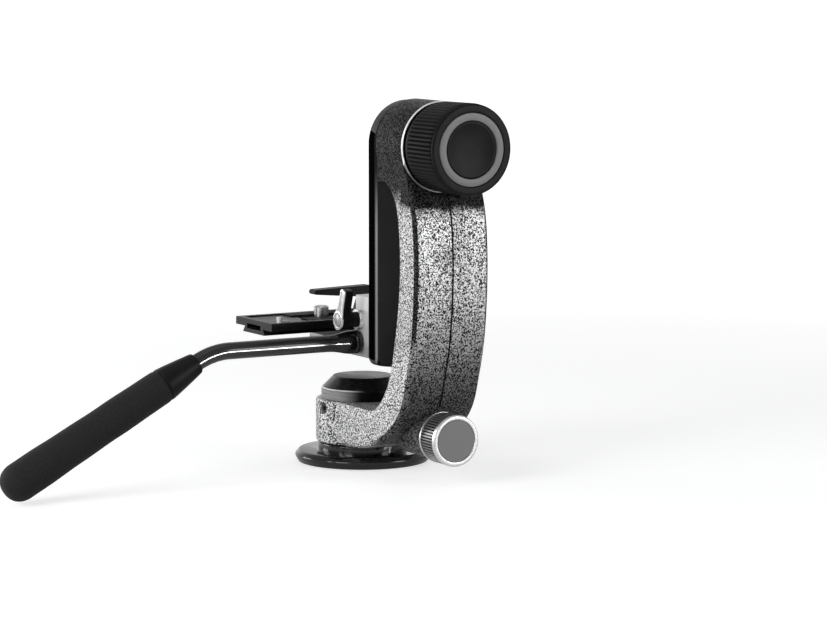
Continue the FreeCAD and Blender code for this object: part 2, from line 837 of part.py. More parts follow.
def clamp_jaw():
    z0 = platform_z1 + slide_gap
    low, knee, high = flank(-1, slide_gap)
    x1 = bed_split_x - gap
    outline = [V(jaw_x0, -bed_half, z0), V(x1, -bed_half, z0), V(x1, -bed_half, bed_z1), low,
               knee, high, V(jaw_x0 + 1.2, -bed_half, high.z), V(jaw_x0, -bed_half, high.z - 1.2)]
    jaw = prism(outline, V(0, 2 * bed_half, 0))
    return jaw.cut(cyl(clamp_rod_r + 0.1, jaw_x0 - 1, x1 - jaw_x0 + 2, "x",
                       clamp_lever_y, clamp_rod_z))


def clamp_rod():
    x0 = jaw_x0 - gap - jaw_travel - clamp_lever_t + 0.8
    head = cyl(3.6, x0 - 1.2, 1.2, "x", clamp_lever_y, clamp_rod_z)
    rod = cyl(clamp_rod_r, x0, bed_split_x + clamp_rod_reach - x0, "x",
              clamp_lever_y, clamp_rod_z)
    return join(head, rod)


def clamp_lever():
    x1 = jaw_x0 - gap - jaw_travel
    x0 = x1 - clamp_lever_t
    pivot = V(x0, clamp_lever_y, clamp_rod_z)
    elbow = V(x0, pivot.y + clamp_lever_bend, pivot.z + clamp_lever_rise)
    tip = V(x0, elbow.y - clamp_lever_run, elbow.z + 1.2)
    across = V(clamp_lever_t, 0, 0)
    half = clamp_lever_half
    end = clamp_lever_tip_half
    eye = cyl(clamp_eye_r, x0, clamp_lever_t, "x", pivot.y, pivot.z)
    knee = cyl(half, x0, clamp_lever_t, "x", elbow.y, elbow.z)
    nose = cyl(end, x0, clamp_lever_t, "x", tip.y, tip.z)
    post = prism([V(x0, pivot.y - 5.4, pivot.z), V(x0, pivot.y + 5.4, pivot.z),
                  V(x0, elbow.y + half, elbow.z), V(x0, elbow.y - half, elbow.z)], across)
    blade = prism([V(x0, elbow.y, elbow.z - half), V(x0, elbow.y, elbow.z + half),
                   V(x0, tip.y, tip.z + end), V(x0, tip.y, tip.z - end)], across)
    lever = join(eye, post, knee, blade, nose)
    lever = lever.cut(cyl(3.7, x0 - 1, 1.8, "x", pivot.y, pivot.z))
    return lever.cut(cyl(clamp_rod_r, x0, clamp_lever_t + 1, "x", pivot.y, pivot.z))


def release_plate():
    y0 = release_y0
    top = release_z_top
    mid = release_z_flange
    low = release_z0
    w = release_half
    outline = [(-w, mid), (-w, top - 0.4), (-w + 0.4, top), (w - 0.4, top), (w, top - 0.4),
               (w, mid), (dovetail_root_half, mid), (dovetail_foot_half, low + dovetail_edge),
               (dovetail_foot_half - dovetail_edge, low),
               (dovetail_edge - dovetail_foot_half, low),
               (-dovetail_foot_half, low + dovetail_edge), (-dovetail_root_half, mid)]
    plate = prism([V(x, y0, z) for x, z in outline], V(0, release_len, 0))
    rim = 3.5
    plate = plate.cut(block(-channel_half, channel_half, y0 + rim, release_y1 - rim,
                            top - channel_depth, top + 1))
    pocket_z = mid - 1.2
    for start in (y0 - 1, release_y1 - pocket_depth):
        plate = plate.cut(block(-pocket_w / 2, pocket_w / 2, start, start + pocket_depth + 1,
                                pocket_z, pocket_z + pocket_h))
    plate = plate.cut(slot_tool(slot_w / 2, low - 1, top + 1))
    plate = plate.cut(slot_tool(slot_head_w / 2, low - 1, low + slot_head_h))
    return plate.cut(cyl(stop_pin_r, top - 3, 4, "z", *stop_pin_place()))


def slot_tool(half, z0, z1):
    """Round-ended slot along Y between slot_y0 and slot_y1."""
    a = slot_y0 + half
    b = slot_y1 - half
    edges = [Part.makeLine(V(-half, a, z0), V(-half, b, z0)),
             Part.Arc(V(-half, b, z0), V(0, slot_y1, z0), V(half, b, z0)).toShape(),
             Part.makeLine(V(half, b, z0), V(half, a, z0)),
             Part.Arc(V(half, a, z0), V(0, slot_y0, z0), V(-half, a, z0)).toShape()]
    return Part.Face(Part.Wire(edges)).extrude(V(0, 0, z1 - z0))


def stop_pin_place():
    return release_half - stop_pin_inset, release_y0 + 6.5


def stop_pin():
    x, y = stop_pin_place()
    return cyl(stop_pin_r, release_z_top - 3, 3 + stop_pin_h, "z", x, y)


def plate_button():
    return cyl(4.0, release_z_top - channel_depth, channel_depth + 0.1, "z",
               channel_half - 5.0, release_y0 + 13.0)


def plate_pads():
    z0 = release_z_top - channel_depth
    pads = []
    for side in (-1, 1):
        x0 = side * (slot_w / 2 + 1.5)
        x1 = side * (channel_half - 1.0)
        pads.append(block(min(x0, x1), max(x0, x1), slot_y0 - 2, slot_y1 + 8, z0, z0 + pad_t))
    return group(pads)


def lens_screw(y):
    z0 = release_z0 + 0.2
    head = cyl(screw_head_r, z0, screw_head_t, "z", 0, y)
    head = head.cut(block(-screw_head_r - 1, screw_head_r + 1, y - 0.8, y + 0.8, z0 - 1, z0 + 1.2))
    top = release_z_top + screw_stand
    thread_z = top - screw_thread_len
    shank = turned_z([(0, z0 + 1.4), (screw_waist_r, z0 + 1.4), (screw_waist_r, thread_z),
                      (screw_thread_r, thread_z), (screw_thread_r, top - 0.8),
                      (screw_thread_r - 0.8, top), (0, top)])
    shank.translate(V(0, y, 0))
    return join(head, shank)


def bar_points():
    """Start, bend start, bend middle, bend end and unit direction of the lower run."""
    drop = math.radians(bar_drop_deg)
    down = V(0, -math.cos(drop), -math.sin(drop))
    tangent = bar_bend_r * math.tan(drop / 2)
    corner = V(bar_x, bar_bend_y, bar_z)
    start = corner + V(0, tangent, 0)
    end = corner + down * tangent
    centre = start - V(0, 0, bar_bend_r)
    middle = centre + V(0, -math.sin(drop / 2), math.cos(drop / 2)) * bar_bend_r
    return start, middle, end, down


def pan_bar():
    start, middle, end, down = bar_points()
    first = V(bar_x, bar_face_y - bar_nut_len, bar_z)
    last = end + down * inner_tube_len
    path = Part.Wire([Part.makeLine(first, start), Part.Arc(start, middle, end).toShape(),
                      Part.makeLine(end, last)])
    section = Part.Wire([Part.makeCircle(bar_r, first, V(0, 1, 0))])
    tube = path.makePipeShell([section], True, True)
    cone = Part.makeCone(bar_cone_r, bar_r, bar_cone_len, first, V(0, -1, 0))
    stud = cyl(bar_stud_r - fit, first.y - 0.5, bar_nut_len + bar_stud_len, "y", bar_x, bar_z)
    return join(tube, cone, stud)


def bar_nut():
    y0 = bar_face_y - bar_nut_len + 0.1
    length = bar_nut_len - 0.1
    nut = ring(bar_stud_r + fit, bar_nut_r, y0, length, "y", bar_x, bar_z)
    outer = [e for e in nut.Edges if e.BoundBox.XLength > 2 * bar_nut_r - 0.1
             and e.BoundBox.YLength < 0.01]
    return nut.makeChamfer(1.3, outer)


def along_bar(offset):
    end, down = bar_points()[2:]
    return end + down * offset, down


def bar_sleeve():
    start, down = along_bar(sleeve_start)
    cone = Part.makeCone(sleeve_r0, sleeve_r1, sleeve_len, start, down)
    return cone.cut(Part.makeCylinder(bar_r, sleeve_len + 2, start - down, down))


def bar_grip():
    start, down = along_bar(sleeve_start + sleeve_len)
    grip = Part.makeCone(grip_r0, grip_r1, grip_len, start, down)
    end = start + down * grip_len
    nose = Part.makeSphere(grip_r1, end, down)
    grip = grip.fuse(nose)
    hole_len = inner_tube_len - sleeve_start - sleeve_len
    return grip.cut(Part.makeCylinder(bar_r, hole_len + 1, start - down, down)).removeSplitter()


def main():
    os.makedirs("parts", exist_ok=True)
    pieces = {
        "base_flange": base_flange(), "pan_spindle": pan_spindle(),
        "spindle_screws": spindle_screws(), "thread_insert": thread_insert(),
        "pan_inner_races": pan_inner_races(), "pan_outer_races": pan_outer_races(),
        "pan_cages": pan_cages(), "pan_brake_drum": pan_brake_drum(),
        "spindle_nut": spindle_nut(), "pan_fluid_drum": pan_fluid_drum(),
        "pan_fluid_cup": pan_fluid_cup(), "pan_cap": pan_cap(), "yoke_arm": yoke_arm(),
        "side_screw": side_screw(), "pan_lock_shoe": pan_lock_shoe(),
        "pan_lock_knob": pan_lock_knob(), "pan_lock_disc": pan_lock_disc(),
        "pan_lock_rod": pan_lock_rod(), "pan_lock_collar": pan_lock_collar(),
        "tilt_shaft": tilt_shaft(), "shaft_screws": shaft_screws(),
        "tilt_inner_races": tilt_inner_races(), "tilt_outer_races": tilt_outer_races(),
        "tilt_cages": tilt_cages(), "tilt_fluid_drum": tilt_fluid_drum(),
        "tilt_fluid_cup": tilt_fluid_cup(), "hub_cover": hub_cover(),
        "tilt_lock_washer": tilt_lock_washer(), "tilt_knob_core": tilt_knob_core(),
        "tilt_knob_rubber": tilt_knob_rubber(), "tilt_knob_ring": tilt_knob_ring(),
        "tilt_knob_disc": tilt_knob_disc(), "swing_plate": swing_plate(),
        "height_rail": height_rail(), "rail_screws": rail_screws(), "rail_stop": rail_stop(),
        "carriage": carriage(), "lock_wedge": lock_wedge(), "height_lever": height_lever(),
        "lever_rod": lever_rod(), "lever_collar": lever_collar(), "clamp_bed": clamp_bed(),
        "bed_screws": bed_screws(), "clamp_jaw": clamp_jaw(), "clamp_rod": clamp_rod(),
        "clamp_lever": clamp_lever(), "release_plate": release_plate(),
        "stop_pin": stop_pin(), "plate_button": plate_button(), "plate_pads": plate_pads(),
        "lens_screw_front": lens_screw(screw_front_y),
        "lens_screw_rear": lens_screw(screw_rear_y),
        "pan_bar": pan_bar(), "bar_nut": bar_nut(), "bar_sleeve": bar_sleeve(),
        "bar_grip": bar_grip(),
    }
    for name, shape in pieces.items():
        save(name, shape)
    print(len(pieces), "nodes")


main()
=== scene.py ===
import bpy
import bmesh
import json
import math
from mathutils import Matrix, Vector


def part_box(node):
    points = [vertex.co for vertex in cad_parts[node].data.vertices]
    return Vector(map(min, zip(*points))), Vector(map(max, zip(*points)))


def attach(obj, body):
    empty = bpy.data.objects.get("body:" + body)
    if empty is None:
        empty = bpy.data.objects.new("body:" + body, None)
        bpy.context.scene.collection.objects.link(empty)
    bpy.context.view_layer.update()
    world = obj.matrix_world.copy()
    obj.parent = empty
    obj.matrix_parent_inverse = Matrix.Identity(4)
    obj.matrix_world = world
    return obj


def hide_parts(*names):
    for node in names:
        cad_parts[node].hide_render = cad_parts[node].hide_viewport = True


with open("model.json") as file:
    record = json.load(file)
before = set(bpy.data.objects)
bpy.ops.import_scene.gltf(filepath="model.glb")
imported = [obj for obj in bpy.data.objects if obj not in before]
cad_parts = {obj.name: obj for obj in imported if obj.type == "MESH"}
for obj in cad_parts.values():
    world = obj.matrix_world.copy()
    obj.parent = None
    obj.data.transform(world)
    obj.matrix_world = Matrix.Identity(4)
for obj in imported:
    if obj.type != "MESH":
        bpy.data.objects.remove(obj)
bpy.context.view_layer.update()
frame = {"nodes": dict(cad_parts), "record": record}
nodes = frame["nodes"]
print("frame loaded:", len(nodes), "nodes")

mm = 0.001
knobRibs = 68  # round the tilt knob, for its mesh and its finish
lockFlutes = 54  # the same for the pan lock knob


def mathNode(tree, operation, first, second=None):
    node = tree.nodes.new("ShaderNodeMath")
    node.operation = operation
    for socket, value in zip(node.inputs, (first, second)):
        if isinstance(value, (int, float)):
            socket.default_value = value
        elif value is not None:
            tree.links.new(value, socket)
    return node.outputs[0]


# Goes smoothly from toLow to toHigh while value goes from fromLow to fromHigh.
def rangeNode(tree, value, fromLow, fromHigh, toLow=0.0, toHigh=1.0):
    node = tree.nodes.new("ShaderNodeMapRange")
    node.interpolation_type = "SMOOTHSTEP"
    tree.links.new(value, node.inputs["Value"])
    for name, number in (("From Min", fromLow), ("From Max", fromHigh), ("To Min", toLow),
                         ("To Max", toHigh)):
        node.inputs[name].default_value = number
    return node.outputs[0]


# One material and the shader nodes that are added to it.
class Finish:
    def __init__(self, name, **socketValues):
        self.material = bpy.data.materials.new(name)
        self.material.use_nodes = True
        self.tree = self.material.node_tree
        self.shader = self.tree.nodes["Principled BSDF"]
        for socketName, value in socketValues.items():
            self.shader.inputs[socketName.replace("_", " ")].default_value = value
        self.texture = self.add("ShaderNodeTexCoord")
        self.coords = self.texture.outputs["Object"]

    def add(self, kind, **settings):
        node = self.tree.nodes.new(kind)
        for key, value in settings.items():
            setattr(node, key, value)
        return node

    def link(self, source, target):
        self.tree.links.new(source, target)

    def noise(self, scale, detail=2.0, roughness=0.5, stretch=None, distortion=0.0):
        node = self.add("ShaderNodeTexNoise")
        node.inputs["Scale"].default_value = scale
        node.inputs["Detail"].default_value = detail
        node.inputs["Roughness"].default_value = roughness
        node.inputs["Distortion"].default_value = distortion
        source = self.coords
        if stretch:
            mapping = self.add("ShaderNodeMapping")
            mapping.inputs["Scale"].default_value = stretch
            self.link(self.coords, mapping.inputs["Vector"])
            source = mapping.outputs["Vector"]
        self.link(source, node.inputs["Vector"])
        return node.outputs["Fac"]

    # How far a place is from the middle of the nearest of many small cells.
    def cells(self, scale):
        node = self.add("ShaderNodeTexVoronoi")
        node.inputs["Scale"].default_value = scale
        self.link(self.coords, node.inputs["Vector"])
        return node.outputs["Distance"]

    # Goes through the values, greys or colours, as source passes the levels.
    def vary(self, source, values, levels=(0.3, 0.7)):
        node = self.add("ShaderNodeValToRGB")
        elements = node.color_ramp.elements
        while len(elements) < len(values):
            elements.new(0.5)
        for element, position, value in zip(elements, levels, values):
            element.position = position
            colour = value if isinstance(value, tuple) else (value, value, value)
            element.color = (*colour, 1.0)
        self.link(source, node.inputs["Fac"])
        return node.outputs["Color"]

    def maths(self, operation, first, second=None):
        return mathNode(self.tree, operation, first, second)

    def product(self, first, *others):
        for other in others:
            first = self.maths("MULTIPLY", first, other)
        return first

    def largest(self, first, *others):
        for other in others:
            first = self.maths("MAXIMUM", first, other)
        return first

    # Each of the two is a grey, a colour or a socket.
    def mixColour(self, factor, first, second):
        node = self.add("ShaderNodeMix", data_type="RGBA")
        self.link(factor, node.inputs["Factor"])
        for socket, value in ((node.inputs[6], first), (node.inputs[7], second)):
            if isinstance(value, float):
                value = (value, value, value)
            if isinstance(value, tuple):
                socket.default_value = (*value, 1.0)
            else:
                self.link(value, socket)
        return node.outputs[2]

    # Separate X, Y and Z of the place on the piece, in metres, or of its normal.
    def split(self, output="Object"):
        node = self.add("ShaderNodeSeparateXYZ")
        self.link(self.texture.outputs[output], node.inputs[0])
        return node.outputs

    # One from low to high, with edges that are soft by that much to each side.
    def between(self, value, low, high, soft):
        rise = rangeNode(self.tree, value, low - soft, low + soft)
        fall = rangeNode(self.tree, value, high - soft, high + soft)
        return self.maths("SUBTRACT", rise, fall)

    # Zero where value is at start, one where it is at end.
    def fade(self, value, start, end):
        if start < end:
            return rangeNode(self.tree, value, start, end)
        return rangeNode(self.tree, value, end, start, 1.0, 0.0)

    # One on the ribs round the axis of a node that lies along X, zero in its grooves.
    def ridges(self, nodeName, count, top=-0.25, bottom=0.55):
        low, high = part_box(nodeName)
        place = self.split()
        rise = self.maths("SUBTRACT", place[2], (low.z + high.z) / 2)
        aside = self.maths("SUBTRACT", place[1], (low.y + high.y) / 2)
        angle = self.maths("ARCTAN2", rise, aside)
        wave = self.maths("COSINE", self.product(angle, float(count)))
        return self.fade(wave, bottom, top)

    def bump(self, height, distance, strength):
        node = self.add("ShaderNodeBump")
        node.inputs["Strength"].default_value = strength
        node.inputs["Distance"].default_value = distance
        self.link(height, node.inputs["Height"])
        return node.outputs["Normal"]

    def setColour(self, source):
        self.link(source, self.shader.inputs["Base Color"])

    def setRoughness(self, source):
        self.link(source, self.shader.inputs["Roughness"])

    def setMetal(self, source):
        self.link(source, self.shader.inputs["Metallic"])

    def setMirror(self, source):
        self.link(source, self.shader.inputs["Specular IOR Level"])

    def setNormal(self, source):
        self.link(source, self.shader.inputs["Normal"])

    # Painted highlight: white on convex edges, from a rounded normal against the true one.
    def edgeHighlight(self, width, low, high):
        rounded = self.add("ShaderNodeBevel", samples=4)
        rounded.inputs["Radius"].default_value = width
        true = self.add("ShaderNodeNewGeometry").outputs["Normal"]
        dot = self.add("ShaderNodeVectorMath", operation="DOT_PRODUCT")
        self.link(rounded.outputs["Normal"], dot.inputs[0])
        self.link(true, dot.inputs[1])
        away = self.maths("SUBTRACT", 1.0, dot.outputs["Value"])
        return self.vary(away, (0.0, 1.0), (low, high))


# A pair is where a place begins and ends, in metres or as a share of the normal.
# A third number there is how soft its edges are.
# Many of these places hold painted shade, and the hub's rim holds a painted highlight.
armPaint = {
    "worm": 1080.0, "wormDetail": 0.6, "wormTwist": 0.9, "patch": 120.0, "patchShare": 0.08,
    "levels": (0.465, 0.488, 0.52), "tones": (0.004, 0.10, 0.86), "relief": 0.00022,
    "shadeLevels": (0.46, 0.50, 0.56), "shadeTones": (0.002, 0.005, 0.055),
    "crownTurn": (0.40, 0.985, 0.03), "crownEdge": (0.0226, 0.0300, 0.0003),
    "crownOut": (0.093, 0.130, 0.001), "crownHeight": (0.083, 0.183, 0.010),
    "grooveHalf": 0.00062, "grooveOut": 0.0955, "grooveHeight": (0.0445, 0.178, 0.0004),
    "waver": 0.012, "hub": (0.160, 0.183), "hubShade": 0.995,
    "underKnob": (0.1655, 0.1710), "underKnobOut": (0.0920, 0.0945),
    "boss": (0.052, 0.042), "bossOut": (0.062, 0.072), "bossHalf": (0.0235, 0.0220),
    "foot": (0.125, 0.050), "footOut": (0.050, 0.066), "flatSide": (0.955, 0.995),
    "footShade": 0.88, "hubCentre": 0.2062, "hubFront": (0.09735, 0.09745),
    "rim": (0.0269, 0.0280, 0.00015), "rimHighlight": 0.9, "face": (0.0270, 0.0268),
    "faceShade": 0.006, "metal": 0.18, "mirror": 0.38, "mirrorLeast": 0.02,
    "rough": (0.46, 0.28), "roughLevels": (0.42, 0.58),
}


# One where shade is painted: crown stripe, seam groove, hub, under the knob (painted shadow), boss
# and foot.
def armPaintedShade(f, place, sideways, patch):
    s = armPaint
    across = f.maths("ABSOLUTE", place[1])
    crown = f.product(f.between(sideways, *s["crownTurn"]), f.between(across, *s["crownEdge"]),
                      f.between(place[0], *s["crownOut"]), f.between(place[2], *s["crownHeight"]))
    grooveShade = f.product(f.maths("LESS_THAN", across, s["grooveHalf"]),
                       f.between(place[2], *s["grooveHeight"]),
                       f.maths("GREATER_THAN", place[0], s["grooveOut"]))
    waver = f.product(f.maths("SUBTRACT", patch, 0.5), s["waver"])
    ragged = f.maths("ADD", place[2], waver)
    hub = f.product(f.fade(ragged, *s["hub"]), s["hubShade"])
    # Painted shadow of the knob on the arm below it.
    under = f.product(f.fade(ragged, *s["underKnob"]), f.fade(place[0], *s["underKnobOut"]))
    boss = f.product(f.fade(ragged, *s["boss"]), f.fade(place[0], *s["bossOut"]),
                     f.fade(across, *s["bossHalf"]), s["footShade"])
    foot = f.product(f.fade(place[2], *s["foot"]), f.fade(place[0], *s["footOut"]),
                     f.maths("SUBTRACT", 1.0, f.fade(sideways, *s["flatSide"])), s["footShade"])
    return hub, f.largest(crown, grooveShade, hub, under, foot, boss)


# Painted highlight on the silver rim round the hub's front, and painted shade on the face inside it.
def hubFront(f, place):
    s = armPaint
    rise = f.maths("SUBTRACT", place[2], s["hubCentre"])
    reach = f.maths("SQRT", f.maths("ADD", f.product(place[1], place[1]), f.product(rise, rise)))
    front = f.fade(place[0], *s["hubFront"])
    rim = f.product(f.between(reach, *s["rim"]), front)
    return rim, f.product(f.fade(reach, *s["face"]), front)


# Worm pattern in silver and black, with painted shade where the places face a dark part of the
# studio, and a painted highlight on the hub's rim.
def hammertoneFinish():
    s = armPaint
    f = Finish("hammertonePaint")
    worm = f.noise(s["worm"], detail=s["wormDetail"], distortion=s["wormTwist"])
    patch = f.noise(s["patch"])
    level = f.maths("ADD", worm, f.product(f.maths("SUBTRACT", patch, 0.5), s["patchShare"]))
    normal, place = f.split("Normal"), f.split()
    hub, paintedShade = armPaintedShade(f, place, f.maths("ABSOLUTE", normal[1]), patch)
    rim, face = hubFront(f, place)
    paint = f.vary(level, s["tones"], s["levels"])
    shadePaint = f.vary(level, s["shadeTones"], s["shadeLevels"])
    # Painted shade over the worm pattern, then painted shade on the hub's face and a painted
    # highlight on its rim.
    colour = f.mixColour(paintedShade, paint, shadePaint)
    colour = f.mixColour(f.product(face, hub), colour, s["faceShade"])
    f.setColour(f.mixColour(rim, colour, s["rimHighlight"]))
    # Metal only where no shade is painted, and on the painted rim highlight.
    unshadedOrRim = f.largest(f.maths("SUBTRACT", 1.0, paintedShade), rim)
    f.setMetal(f.product(unshadedOrRim, s["metal"]))
    f.setMirror(f.maths("ADD", f.product(unshadedOrRim, s["mirror"]), s["mirrorLeast"]))
    f.setRoughness(f.vary(level, s["rough"], s["roughLevels"]))
    f.setNormal(f.bump(level, s["relief"], 1.0))
    return f.material


def satinBlackFinish():
    s = {"mirror": 0.14, "grain": 2600.0, "smudge": 38.0, "colour": (0.005, 0.009),
         "colourLevels": (0.35, 0.70), "highlightWidth": 0.00035, "highlightFrom": 0.03, "highlightTo": 0.30,
         "highlightGrey": (0.075, 0.075, 0.078), "rough": (0.33, 0.43), "relief": (0.000012, 0.6)}
    f = Finish("satinBlackAnodised", Specular_IOR_Level=s["mirror"])
    smudge = f.noise(s["smudge"], detail=3.0)
    # Painted highlight: a lighter grey on the convex edges.
    edge = f.edgeHighlight(s["highlightWidth"], s["highlightFrom"], s["highlightTo"])
    base = f.vary(smudge, s["colour"], s["colourLevels"])
    f.setColour(f.mixColour(edge, base, s["highlightGrey"]))
    f.setRoughness(f.vary(smudge, s["rough"]))
    f.setNormal(f.bump(f.noise(s["grain"]), *s["relief"]))
    return f.material


# Black plate with painted light: a painted highlight line along the middle of its chamfer, a face
# painted lighter and flat sides painted near black as shade.
def swingPlateFinish():
    s = {"face": (0.0425, 0.050), "side": (0.0014, 0.0020), "levels": (0.35, 0.70),
         "chamfer": 0.006, "chamferTurn": (0.30, 0.93, 0.04), "chamferFront": 0.25,
         "line": 0.20, "highlightAcross": (0.0252, 0.0262, 0.0004), "highlightHeight": (0.195, 0.150),
         "highlightMetal": 0.4, "highlightMirror": 0.3, "faceMirror": 0.06, "flatSide": 0.96,
         "smudge": 38.0, "grain": 2600.0, "rough": (0.34, 0.42), "relief": (0.000012, 0.6)}
    f = Finish("swingPlateAnodised")
    smudge = f.noise(s["smudge"], detail=3.0)
    normal, place = f.split("Normal"), f.split()
    sideways = f.maths("ABSOLUTE", normal[1])
    turned = f.product(f.between(sideways, *s["chamferTurn"]),
                       f.maths("GREATER_THAN", normal[0], s["chamferFront"]))
    # Painted highlight line along the middle of the chamfer.
    line = f.product(f.between(f.maths("ABSOLUTE", place[1]), *s["highlightAcross"]), turned,
                     f.fade(place[2], *s["highlightHeight"]))
    # Painted light: flat sides near black as painted shade, the other faces lighter.
    flat = f.maths("GREATER_THAN", sideways, s["flatSide"])
    base = f.mixColour(flat, f.vary(smudge, s["face"], s["levels"]),
                       f.vary(smudge, s["side"], s["levels"]))
    base = f.mixColour(turned, base, s["chamfer"])
    f.setColour(f.mixColour(line, base, s["line"]))
    f.setMetal(f.product(line, s["highlightMetal"]))
    mirror = f.product(f.maths("SUBTRACT", 1.0, flat), s["faceMirror"])
    f.setMirror(f.maths("ADD", f.product(line, s["highlightMirror"]), mirror))
    f.setRoughness(f.vary(smudge, s["rough"]))
    f.setNormal(f.bump(f.noise(s["grain"]), *s["relief"]))
    return f.material


# Turned cap with painted light: its wall painted brighter than its cone on the left, and a painted
# highlight line where they meet.
def panCapFinish():
    s = {"cone": 0.0030, "coneHeight": 0.0073, "litWall": (0.24, 0.30), "litWallLevels": (0.35, 0.65),
         "upright": (0.35, 0.15), "litFromLeft": (0.52, 0.92), "line": 0.75, "highlightHalf": 0.00035,
         "highlightSoft": 0.0001, "highlightLeft": (0.30, 0.60), "sloping": (0.30, 0.90, 0.05),
         "coneMirror": 0.45, "mirror": 0.08, "grain": 900.0, "stretch": (0.15, 0.15, 1.0),
         "rough": (0.24, 0.34), "relief": (0.000006, 0.5)}
    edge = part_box("pan_cap")[1].z - s["coneHeight"]
    f = Finish("panCapTurned")
    grain = f.noise(s["grain"], detail=3.0, stretch=s["stretch"])
    normal, place = f.split("Normal"), f.split()
    left = f.product(normal[1], -1.0)
    upright = f.fade(f.maths("ABSOLUTE", normal[2]), *s["upright"])
    # Painted light on the left of the wall.
    paintedLight = f.product(upright, f.fade(left, *s["litFromLeft"]))
    base = f.mixColour(paintedLight, s["cone"], f.vary(grain, s["litWall"], s["litWallLevels"]))
    # Painted highlight line where wall and cone meet, on the left.
    line = f.between(place[2], edge - s["highlightHalf"], edge + s["highlightHalf"], s["highlightSoft"])
    line = f.product(line, f.fade(left, *s["highlightLeft"]))
    f.setColour(f.mixColour(line, base, s["line"]))
    sloping = f.between(normal[2], *s["sloping"])
    f.setMirror(f.maths("ADD", f.product(sloping, s["coneMirror"]), s["mirror"]))
    f.setRoughness(f.vary(grain, s["rough"]))
    f.setNormal(f.bump(grain, *s["relief"]))
    return f.material


# Black gloss paint of the bar, and the more polished black of the base flange.
def polishedBlackFinish(name, mirror, colour, rough):
    s = {"smudge": 30.0, "ripple": 420.0, "relief": (0.00001, 0.5)}
    f = Finish(name, Specular_IOR_Level=mirror)
    smudge = f.noise(s["smudge"], detail=3.0)
    f.setColour(f.vary(smudge, colour))
    f.setRoughness(f.vary(smudge, rough))
    f.setNormal(f.bump(f.noise(s["ripple"], detail=1.0), *s["relief"]))
    return f.material


def silverFinish():
    s = {"metal": 0.95, "lines": 240.0, "stretch": (1.0, 1.0, 22.0), "cloud": 60.0,
         "colour": (0.736, 0.80), "rough": (0.23, 0.35), "relief": (0.000008, 0.5)}
    f = Finish("satinSilver", Metallic=s["metal"])
    lines = f.noise(s["lines"], detail=4.0, stretch=s["stretch"])
    f.setColour(f.vary(f.noise(s["cloud"]), s["colour"]))
    f.setRoughness(f.vary(lines, s["rough"]))
    f.setNormal(f.bump(lines, *s["relief"]))
    return f.material


# Satin grey of the bracket, plainer than the silver parts and darker low down.
def bracketFinish():
    s = {"metal": 0.35, "mirror": 0.3, "lines": 240.0, "stretch": (1.0, 1.0, 14.0),
         "height": (0.073, 0.086), "tones": (0.22, 0.62), "streaks": (0.88, 1.0),
         "rough": (0.36, 0.48), "relief": (0.000006, 0.5)}
    f = Finish("bracketSatinGrey", Metallic=s["metal"], Specular_IOR_Level=s["mirror"])
    lines = f.noise(s["lines"], detail=3.0, stretch=s["stretch"])
    tone = f.vary(f.fade(f.split()[2], *s["height"]), s["tones"], (0.0, 1.0))
    f.setColour(f.product(tone, f.vary(lines, s["streaks"])))
    f.setRoughness(f.vary(lines, s["rough"]))
    f.setNormal(f.bump(lines, *s["relief"]))
    return f.material


# Dusty rubber, with painted shade that keeps its grooves black.
def rubberFinish():
    s = {"mirror": 0.05, "grain": 3200.0, "dust": 70.0, "ridge": (0.010, 0.018),
         "ridgeLevels": (0.35, 0.72), "grooveShade": 0.0006, "rough": (0.50, 0.62),
         "relief": (0.00002, 0.7)}
    f = Finish("ribbedRubber", Specular_IOR_Level=s["mirror"])
    grain = f.noise(s["grain"])
    dust = f.noise(s["dust"], detail=4.0, roughness=0.65)
    rib = f.ridges("tilt_knob_rubber", knobRibs)
    f.setColour(f.mixColour(rib, s["grooveShade"], f.vary(dust, s["ridge"], s["ridgeLevels"])))
    f.setRoughness(f.vary(grain, s["rough"]))
    f.setNormal(f.bump(grain, *s["relief"]))
    return f.material


def foamFinish():
    s = {"mirror": 0.10, "sheen": 0.04, "sheenRough": 0.6, "pores": 1500.0, "poreShare": 0.7,
         "fine": 2600.0, "colour": (0.005, 0.018), "colourLevels": (0.45, 1.1),
         "rough": (0.62, 0.78), "relief": (0.00010, 0.8)}
    f = Finish("foamGrip", Specular_IOR_Level=s["mirror"], Sheen_Weight=s["sheen"],
               Sheen_Roughness=s["sheenRough"])
    fine = f.noise(s["fine"], detail=3.0)
    height = f.maths("ADD", f.product(f.cells(s["pores"]), s["poreShare"]), fine)
    f.setColour(f.vary(height, s["colour"], s["colourLevels"]))
    f.setRoughness(f.vary(fine, s["rough"]))
    f.setNormal(f.bump(height, *s["relief"]))
    return f.material


def plasticFinish():
    s = {"mirror": 0.09, "grain": 2400.0, "cloud": 55.0, "colour": (0.006, 0.011),
         "rough": (0.34, 0.46), "relief": (0.000018, 0.6)}
    f = Finish("satinBlackPlastic", Specular_IOR_Level=s["mirror"])
    grain = f.noise(s["grain"])
    f.setColour(f.vary(f.noise(s["cloud"]), s["colour"]))
    f.setRoughness(f.vary(grain, s["rough"]))
    f.setNormal(f.bump(grain, *s["relief"]))
    return f.material


# Grip of the pan lock knob, with painted shade that keeps its grooves black.
def lockGripFinish():
    s = {"metal": 0.7, "grain": 1500.0, "flute": (0.20, 0.28), "grooveShade": 0.004,
         "rough": (0.28, 0.4), "relief": (0.000012, 0.5)}
    f = Finish("lockKnobDarkGrip", Metallic=s["metal"])
    grain = f.noise(s["grain"], detail=3.0)
    flute = f.ridges("pan_lock_knob", lockFlutes)
    f.setColour(f.mixColour(flute, s["grooveShade"], f.vary(grain, s["flute"])))
    f.setRoughness(f.vary(grain, s["rough"]))
    f.setNormal(f.bump(grain, *s["relief"]))
    return f.material


